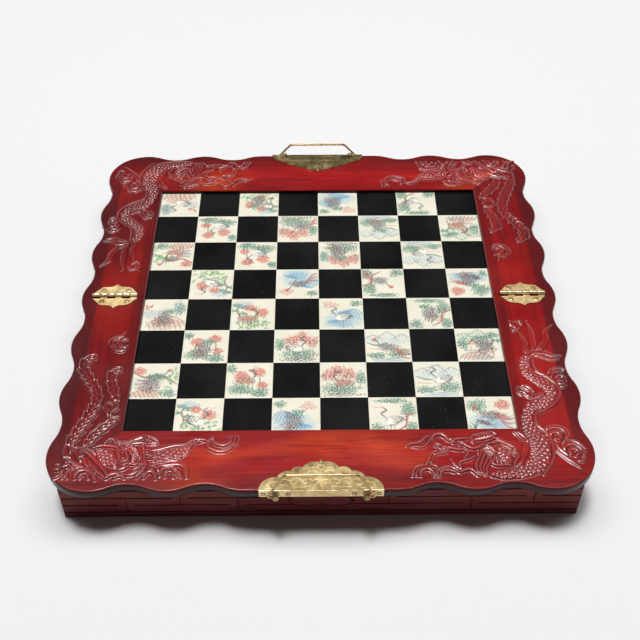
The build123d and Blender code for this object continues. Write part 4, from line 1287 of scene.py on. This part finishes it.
def picture_tiles(half):
    """Ivory tiles of one half, each with its own painting on fine cells."""
    shape = bmesh.new()
    layer = shape.verts.layers.float_color.new("painting")
    for number, (x, y) in enumerate(tile_places(half, 1)):
        seed = number + (16 if half == "rear" else 0)
        picture = Picture(seed, mirrored=seed % 4 > 1)
        PAINTERS[(seed * 3 + seed // 8) % len(PAINTERS)](picture)
        x_shift, y_shift = picture.random.uniform(-3, 3, 2)
        subject = SUBJECTS[(seed * 5 + seed // 6) % len(SUBJECTS)]
        subject(picture, SUBJECT_PLACE[0] + x_shift, SUBJECT_PLACE[1] + y_shift, SUBJECT_SIZE)
        corner = (x - TILE_SIDE / 2, y - TILE_SIDE / 2)
        place = Matrix.Translation((x, y, TILE_TOP)) @ Matrix.Diagonal((TILE_SIDE / 2, TILE_SIDE / 2, 1, 1))
        grid = bmesh.ops.create_grid(
            shape, x_segments=PICTURE_CELLS, y_segments=PICTURE_CELLS, size=1, matrix=place
        )
        # The rear half's pictures face the player behind them
        colours = picture.colour if half == "front" else picture.colour[::-1, ::-1]
        for vert in grid["verts"]:
            spot = tuple(int(round((at - low) / picture.cells.cell)) for at, low in zip(vert.co, corner))
            vert[layer] = (*colours[spot], 1)
            if 0 in spot or PICTURE_CELLS in spot:
                vert.co.z -= TILE_EDGE
    shade(shape)
    for edge in shape.edges:
        if edge.is_boundary:
            edge.smooth = False
    lip_down(shape, TILE_THICK - TILE_EDGE)
    piece(
        f"{half}_painted_squares", shape, painted_ivory(), f"{half}_half",
        [f"{half}_picture_tiles"],
    )


# ---- Brass fittings ----

PLATE_TOP = edge_of("rear_handle_plate", 1, 2)
PLATE_FACE = RAIL_OUT + 0.8
POST_X = 35.0
PIVOT_Y = PLATE_FACE + 2.8
PIVOT_Z = PLATE_TOP - 4.0
AXIS_Z = 51.0
BAIL_WIRE = 1.1
BAIL_LEAN = 108.0
NAIL_GAP = 9.6  # From a post to the nails beside it
NAIL_BACK = 27.2  # From the plate's face to the nail on top
PATTERN_PATCH = ((-47, 189), (47, 217.4))
PATTERN_CELL = 0.3
PATTERN_RISE = 0.16
PATTERN_SUNK = 0.02

# Half of the pattern on a handle plate, as (rise, line), from the middle of the plate's bend
PLATE_PATTERN = (
    (0.5, ((0, 13.0, 1.2), (0, 17.5, 0.5))), (0.5, ((0.8, 12.2, 1.1), (4.2, 15.2, 0.5))),
    (0.5, ((1.1, 10.8, 1.1), (5.4, 11.2, 0.5))), (0.5, ((0.8, 9.6, 1.1), (3.8, 6.8, 0.5))),
    (0.5, ((0, 9.0, 1.2), (0, 4.8, 0.5))), (0.6, ((-0.1, 11, 1.0), (0.1, 11, 1.0))),
    (0.35, ((6, 9, 0.5), (10, 12, 0.7), (14, 9.5, 0.7), (12.5, 6.8, 0.6), (10.5, 8.6, 0.4))),
    (0.35, ((14, 9.5, 0.5), (19, 12.5, 0.7), (23.5, 9.6, 0.7), (21.5, 6.2, 0.6), (19, 8.4, 0.4))),
    (0.35, ((23.5, 9.6, 0.5), (28.5, 11.5, 0.7), (32, 8.2, 0.7), (29.5, 5.4, 0.6), (27.4, 7.2, 0.4))),
    (0.35, ((32, 8.2, 0.5), (37, 9.0, 0.7), (41.5, 6.0, 0.7), (39.5, 3.6, 0.5))),
    (0.35, ((3, 18, 0.5), (7, 20, 0.7), (10, 17.4, 0.7), (8.2, 15.2, 0.5))),
    (0.35, ((10, 16, 0.5), (15.5, 16.6, 0.7), (18.5, 13.8, 0.5))),
    (0.35, ((0, 19.5, 0.5), (3, 22.5, 0.7), (0.6, 25, 0.5))),
    (0.35, ((5, 22, 0.5), (8, 22.6, 0.6), (10.4, 20.4, 0.4))),
    (0.3, ((8, 4.5, 0.5), (16, 3.8, 0.6), (24, 4.2, 0.5))),
    (0.3, ((30, 3.2, 0.5), (36, 2.6, 0.6), (43, 2.8, 0.5))),
)


def handle_plate(half):
    """Handle plate without its plain posts, with turned posts in their place."""
    node = f"{half}_handle_plate"
    shape = in_millimetres(cad[node].data)
    way = WAY[half]
    everything = shape.verts[:] + shape.edges[:] + shape.faces[:]
    cut = (0, way * (PLATE_FACE + 0.02), 0)
    bmesh.ops.bisect_plane(shape, geom=everything, plane_co=cut, plane_no=(0, way, 0), clear_outer=True)
    shape.normal_update()
    # The flange takes a lighter brass, a painted reflection, and the bend a lighter polished brass, a painted
    # highlight
    for face in shape.faces:
        on_bend = 0.02 < face.normal.z < 0.999 and abs(face.normal.x) < 0.01
        face.smooth = on_bend
        face.material_index = 2 if on_bend else int(abs(face.normal.y) > 0.7)
    profile = (
        (0, -0.2), (3.1, -0.2), (3.1, 0.3), (2.5, 0.7), (1.9, 1.0), (1.8, 1.5), (1.9, 3.7), (2.4, 4.0),
        (2.6, 4.5), (2.55, 5.0), (2.1, 5.4), (1.2, 5.65), (0, 5.7),
    )
    for x in (-POST_X, POST_X):
        turned(shape, profile, facing((x, way * PLATE_FACE, PIVOT_Z), (0, way, 0)))
    made = piece(f"{half}_plate", shape, FINISHES["brass"], f"{half}_half", [node])
    for finish in ("flange_brass", "bright_brass"):
        made.data.materials.append(FINISHES[finish])


def plate_pattern(half):
    """Raised pattern on the upper side of a handle plate."""
    cells = Cells(*PATTERN_PATCH, PATTERN_CELL)
    height = np.zeros(cells.x.shape)
    for rise, line in PLATE_PATTERN:
        for flip in (-1, 1):
            rows = [(flip * x, PLATE_FACE - y, wide) for x, y, wide in line]
            _, across, width, near = cells.band(rows)
            rounded = np.sqrt(np.clip(1 - (across / width) ** 2, 0, 1))
            height = np.where(near, np.maximum(height, rise * rounded), height)
    height = blurred(height, 1)
    keep = blurred((height > 0.02).astype(float), 1) > 0.01
    shape = bmesh.new()
    level = PLATE_TOP + PATTERN_RISE * height - PATTERN_SUNK
    raise_cells(shape, cells, level, keep, np.clip(height * 2, 0, 1))
    shade(shape)
    lip_down(shape, 0.1)
    if half == "front":
        turn_round(shape)
    piece(f"{half}_plate_pattern", shape, FINISHES["raised_brass"], f"{half}_half")


def bail(half):
    """Bail bent from one wire, with soft bends, leaning in over its plate."""
    foot, grip, leg = POST_X + 6.4, POST_X + 6.4 - 13.4, 20.0
    corners = [(POST_X - 2.5, 0), (foot, 0), (grip, leg), (-grip, leg), (-foot, 0), (2.5 - POST_X, 0)]
    bends = [0, 1.6, 2.6, 2.6, 1.6, 0]
    curve = bpy.data.curves.new(f"{half}_bail_line", "CURVE")
    curve.dimensions = "3D"
    curve.bevel_depth = BAIL_WIRE * MM
    curve.bevel_resolution = 5
    curve.resolution_u = 8
    curve.use_fill_caps = True
    stops = []
    for place, (corner, bend) in enumerate(zip(corners, bends)):
        corner = Vector(corner)
        if not bend:
            stops.append((corner, corner, corner))
            continue
        for other, first in ((corners[place - 1], True), (corners[place + 1], False)):
            edge = (Vector(other) - corner).normalized()
            at, pull = corner + bend * edge, corner + 0.45 * bend * edge
            away = corner + 1.6 * bend * edge
            stops.append((away, at, pull) if first else (pull, at, away))
    spline = curve.splines.new("BEZIER")
    spline.bezier_points.add(len(stops) - 1)
    lean = Matrix.Rotation(radians(BAIL_LEAN), 4, "X")
    turn = Matrix.Rotation(pi if half == "front" else 0, 4, "Z")
    for point, stop in zip(spline.bezier_points, stops):
        before, at, after = [
            turn @ (Vector((0, PIVOT_Y, PIVOT_Z)) + lean @ Vector((x, y, 0))) * MM for x, y in stop
        ]
        point.handle_left_type = point.handle_right_type = "FREE"
        point.handle_left, point.co, point.handle_right = before, at, after
    shape = shape_of(curve)
    shade(shape)
    piece(f"{half}_wire_bail", shape, FINISHES["brass_wire"], f"{half}_bail", [f"{half}_bail"])


def small_nails(half):
    """Round-headed nails of a handle plate, each in a flat dark ring, painted shade of a dimple."""
    way = WAY[half]
    places = [
        ((x + gap, way * PLATE_FACE, PIVOT_Z), (0, way, 0))
        for x in (-POST_X, POST_X) for gap in (-NAIL_GAP, NAIL_GAP)
    ]
    places.append(((0, way * (PLATE_FACE - NAIL_BACK), PLATE_TOP), (0, 0, 1)))
    head = ((0, 0.62), (0.45, 0.56), (0.85, 0.38), (1.1, 0.1), (1.1, -0.2), (0, -0.2))
    # Flat dark ring round each head: painted shade of its dimple
    ring = ((1.0, -0.1), (1.0, 0.04), (1.35, 0.05), (1.75, 0.05), (1.95, 0.0), (1.95, -0.1))
    heads, dimples = bmesh.new(), bmesh.new()
    for place, direction in places:
        turned(heads, head, facing(place, direction), 20)
        turned(dimples, ring, facing(place, direction), 24)
    piece(f"{half}_nails", heads, FINISHES["bright_brass"], f"{half}_half")
    piece(f"{half}_nail_dimples", dimples, FINISHES["tarnish"], f"{half}_half")


HINGE_X = 186.5
HINGE_LENGTH = 41.0
KNUCKLE_RADIUS = 1.85
KNUCKLES = 6
KNUCKLE_STEP = HINGE_LENGTH / KNUCKLES
LEAF_START = 3.3
LEAF_THICK = 0.9
LEAF_ROUNDING = 0.16
LEAF_END = 20.3
KNUCKLE_CLEARANCE = 0.24
SCREW_GAP = 11.4
SCREW_Y = 7.4
# Right half of a leaf's outline, from its ogee tip to the barrel
LEAF_LINE = (
    (0, 15.7), (1.3, 14.4), (2.9, 12.9), (5.4, 12.1), (10.6, 11.9), (13.0, 11.1), (15.6, 8.6), (18.0, 5.6),
    (19.7, 4.0), (20.2, LEAF_START),
)


def leaf_outline(starts):
    """Outline of a leaf, from its tip round to a tab for each of its knuckles."""
    outline = [(-x, y) for x, y in reversed(LEAF_LINE[1:])] + list(LEAF_LINE)
    for start in reversed(starts):
        near, far = start + 0.4, start + KNUCKLE_STEP - 0.4
        tab = ((far, LEAF_START), (far, 0.5), (near, 0.5), (near, LEAF_START))
        outline += [(x, y) for x, y in tab if abs(x) < LEAF_END]
    return outline


def knuckle(middle):
    """One knuckle of a hinge barrel, with softened ends, as a shape about a place along X."""
    shape = bmesh.new()
    bmesh.ops.create_cone(
        shape, cap_ends=True, segments=36, radius1=KNUCKLE_RADIUS, radius2=KNUCKLE_RADIUS,
        depth=KNUCKLE_STEP - KNUCKLE_CLEARANCE,
    )
    ends = [edge for edge in shape.edges if abs(edge.verts[0].co.z - edge.verts[1].co.z) < 0.01]
    round_edges(shape, ends, 0.25)
    shade(shape)
    # The knuckles take the lighter polished brass: a painted highlight on the barrel
    for face in shape.faces:
        face.material_index = 1
    spot = Matrix.Translation((middle, 0, AXIS_Z)) @ Matrix.Rotation(pi / 2, 4, "Y")
    bmesh.ops.transform(shape, matrix=spot, verts=shape.verts)
    return shape


def hinge_leaf(half, side):
    """Leaf with curved edges and three knuckles, which take turns with those of the other half."""
    first = 0 if half == "rear" else 1
    starts = [KNUCKLE_STEP * count - HINGE_LENGTH / 2 for count in range(first, KNUCKLES, 2)]
    outline = leaf_outline(starts)
    curve = bpy.data.curves.new("leaf_line", "CURVE")
    curve.dimensions = "2D"
    curve.fill_mode = "BOTH"
    curve.bevel_depth = LEAF_ROUNDING * MM
    curve.bevel_resolution = 2
    curve.offset = -LEAF_ROUNDING * MM
    curve.extrude = (LEAF_THICK / 2 - LEAF_ROUNDING) * MM
    spline = curve.splines.new("POLY")
    spline.use_cyclic_u = True
    spline.points.add(len(outline) - 1)
    for point, (x, y) in zip(spline.points, outline):
        point.co = (x * MM, WAY[half] * y * MM, 0, 1)
    shape = shape_of(curve)
    middle = WAY[side] * HINGE_X
    bmesh.ops.translate(shape, vec=(middle, 0, RAIL_TOP + LEAF_THICK / 2), verts=shape.verts)
    for face in shape.faces:
        face.smooth = abs(face.normal.z) < 0.98
    for start in starts:
        join(shape, knuckle(middle + start + KNUCKLE_STEP / 2))
    made = piece(
        f"{side}_hinge_{half}_shaped_leaf", shape, FINISHES["hinge_brass"], f"{half}_half",
        [f"{side}_hinge_{half}_leaf"],
    )
    made.data.materials.append(FINISHES["bright_brass"])


def hinge_screws(half):
    """Round screws of both hinge leaves on one half, each in a dark ring and with a dark slot, both painted
    shade.
    """
    way = WAY[half]
    rng = np.random.default_rng(5 + way)
    heads, dark = bmesh.new(), bmesh.new()
    for hinge in (-HINGE_X, HINGE_X):
        for gap in (-SCREW_GAP, SCREW_GAP):
            spot = Matrix.Translation((hinge + gap, way * SCREW_Y, RAIL_TOP + LEAF_THICK))
            turned(heads, ((0, 0.34), (0.8, 0.32), (1.5, 0.2), (1.8, 0.0), (1.8, -0.3), (0, -0.3)), spot, 24)
            turned(heads, ((2.2, -0.1), (2.25, 0.14), (2.6, 0.18), (2.9, 0.0), (2.9, -0.1)), spot, 28)
            # Dark ring under each rim and a dark bar for the slot: painted shade
            turned(dark, ((1.7, 0.02), (2.3, 0.02), (2.3, -0.1), (1.7, -0.1)), spot, 28)
            slot = spot @ Matrix.Rotation(rng.uniform(0, pi), 4, "Z") @ Matrix.Translation((0, 0, 0.3))
            bmesh.ops.create_cube(dark, size=1, matrix=slot @ Matrix.Diagonal((2.7, 0.8, 0.14, 1)))
    piece(f"{half}_hinge_screws", heads, FINISHES["hinge_brass"], f"{half}_half")
    piece(f"{half}_hinge_screw_slots", dark, FINISHES["tarnish"], f"{half}_half")


def drawer_knob(half, side):
    """Turned brass knob of one drawer."""
    node = f"{half}_{side}_drawer_knob"
    low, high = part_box(node)
    middle = (low + high) / 2 / MM
    foot = (low.x if side == "right" else high.x) / MM
    profile = (
        (0, -0.2), (2.9, -0.2), (2.9, 0.35), (2.4, 0.9), (1.7, 1.3), (1.5, 2.2), (1.6, 3.6), (2.2, 4.5),
        (3.0, 5.1), (3.4, 5.9), (3.35, 6.7), (2.8, 7.4), (1.7, 7.85), (0, 8.0),
    )
    shape = bmesh.new()
    turned(shape, profile, facing((foot, middle.y, middle.z), (WAY[side], 0, 0)), 40)
    piece(f"{half}_{side}_turned_knob", shape, FINISHES["brass"], f"{half}_{side}_drawer", [node])


def drawer_pad(half, side):
    """Velvet pad on the bottom of one tray, softly rounded at its edges."""
    node = f"{half}_{side}_drawer_lining"
    low, high = [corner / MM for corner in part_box(node)]
    middle, reach = (low + high) / 2, (high - low) / 2
    shape = bmesh.new()
    place = Matrix.Translation((middle.x, middle.y, high.z)) @ Matrix.Diagonal((reach.x, reach.y, 1, 1))
    bmesh.ops.create_grid(shape, x_segments=60, y_segments=60, size=1, matrix=place)
    for vert in shape.verts:
        inset = min(reach.x - abs(vert.co.x - middle.x), reach.y - abs(vert.co.y - middle.y))
        sag = 0.12 * (sin(vert.co.x / 7.0) * cos(vert.co.y / 9.0))
        vert.co.z -= 0.15 + sag * min(inset / 8, 1) + 0.75 * max(0, 1 - inset / 3.2) ** 2
    shade(shape)
    lip_down(shape, 0.25)
    pad = piece(
        f"{half}_{side}_velvet_pad", shape, FINISHES["velvet"], f"{half}_{side}_drawer", [node]
    )


# ---- The scene ----


def dress_cad():
    """Every CAD node gets the finish of its material slot."""
    for part in frame["record"]["subparts"]:
        mesh = cad[part["node"]].data
        mesh.materials.clear()
        mesh.materials.append(FINISHES[part["material_slot"]])


# ---- Scene round the object ----


def plain_floor():
    """Wide pale floor under the box."""
    mesh = bpy.data.meshes.new("floor")
    shape = bmesh.new()
    bmesh.ops.create_grid(shape, x_segments=1, y_segments=1, size=20.0)
    shape.to_mesh(mesh)
    shape.free()
    floor = bpy.data.objects.new("floor", mesh)
    bpy.context.scene.collection.objects.link(floor)
    finish = Finish("floor", 0.9)
    finish.shader.inputs["Base Color"].default_value = (0.88, 0.875, 0.877, 1)
    mesh.materials.append(finish.material)


def light(name, kind, place, energy):
    """A light of one kind, aimed at the middle of the board's foot."""
    made = bpy.data.objects.new(name, bpy.data.lights.new(name, kind))
    bpy.context.scene.collection.objects.link(made)
    made.data.energy = energy
    made.location = place
    made.rotation_euler = (Vector() - Vector(place)).to_track_quat("-Z", "Y").to_euler()
    return made


def lights():
    """Two small suns, one of them for highlights only, and a wide lamp just behind them."""
    for name, place, hidden_from in (
        ("overhead", (-0.2, 0.30, 2.8), "visible_glossy"),
        ("glint", (-0.3, 0.78, 2.8), "visible_diffuse"),
    ):
        sun = light(name, "SUN", place, 1.5)
        sun.data.angle = radians(12)
        setattr(sun, hidden_from, False)
    lamp = light("softbox", "AREA", (0.0, 0.52, 2.9), 58)
    lamp.data.shape = "RECTANGLE"
    lamp.data.size, lamp.data.size_y = 3.6, 1.0


def room():
    """Dim light all round, and pale walls that only the camera and glossy or clear surfaces see."""
    world = bpy.data.worlds.new("room")
    bpy.context.scene.world = world
    world.use_nodes = True
    nodes, links = world.node_tree.nodes, world.node_tree.links
    height = nodes.new("ShaderNodeSeparateXYZ")
    links.new(nodes.new("ShaderNodeTexCoord").outputs["Generated"], height.inputs[0])
    walls = nodes.new("ShaderNodeValToRGB")
    links.new(height.outputs["Z"], walls.inputs["Fac"])
    for element, (place, level) in zip(walls.color_ramp.elements, ((0.2, 0.95), (0.5, 0.09))):
        element.position, element.color = place, opaque(level)
    rays = nodes.new("ShaderNodeLightPath")
    seen = rays.outputs["Is Camera Ray"]
    for kind in ("Is Glossy Ray", "Is Transmission Ray"):
        either = nodes.new("ShaderNodeMath")
        either.operation = "MAXIMUM"
        links.new(seen, either.inputs[0])
        links.new(rays.outputs[kind], either.inputs[1])
        seen = either.outputs[0]
    shown = nodes.new("ShaderNodeMix")
    shown.data_type = "RGBA"
    links.new(seen, shown.inputs[0])
    shown.inputs[6].default_value = opaque(0.035)
    links.new(walls.outputs["Color"], shown.inputs[7])
    links.new(shown.outputs[2], nodes["Background"].inputs["Color"])


def camera():
    """Camera in front of the box and above it, a little to the left."""
    data = bpy.data.cameras.new("camera")
    data.lens = 56.99
    data.sensor_width = 36.0
    view = bpy.data.objects.new("camera", data)
    bpy.context.scene.collection.objects.link(view)
    view.location = (-0.0050, -0.6740, 0.6886)
    aim = Vector((0.0006, -0.0321, 0.049)) - Vector(view.location)
    view.rotation_euler = aim.to_track_quat("-Z", "Y").to_euler()
    bpy.context.scene.camera = view


camera()
dress_cad()
for half in HALVES:
    for rail in ("rail", "left_rail", "right_rail"):
        rounded_rail(half, rail)
carvings()
for half in HALVES:
    black_tiles(half)
    picture_tiles(half)
    handle_plate(half)
    plate_pattern(half)
    bail(half)
    small_nails(half)
    hinge_screws(half)
    for side in SIDES:
        hinge_leaf(half, side)
        drawer_knob(half, side)
        drawer_pad(half, side)
plain_floor()
lights()
room()
bpy.context.scene.view_settings.view_transform = "Standard"
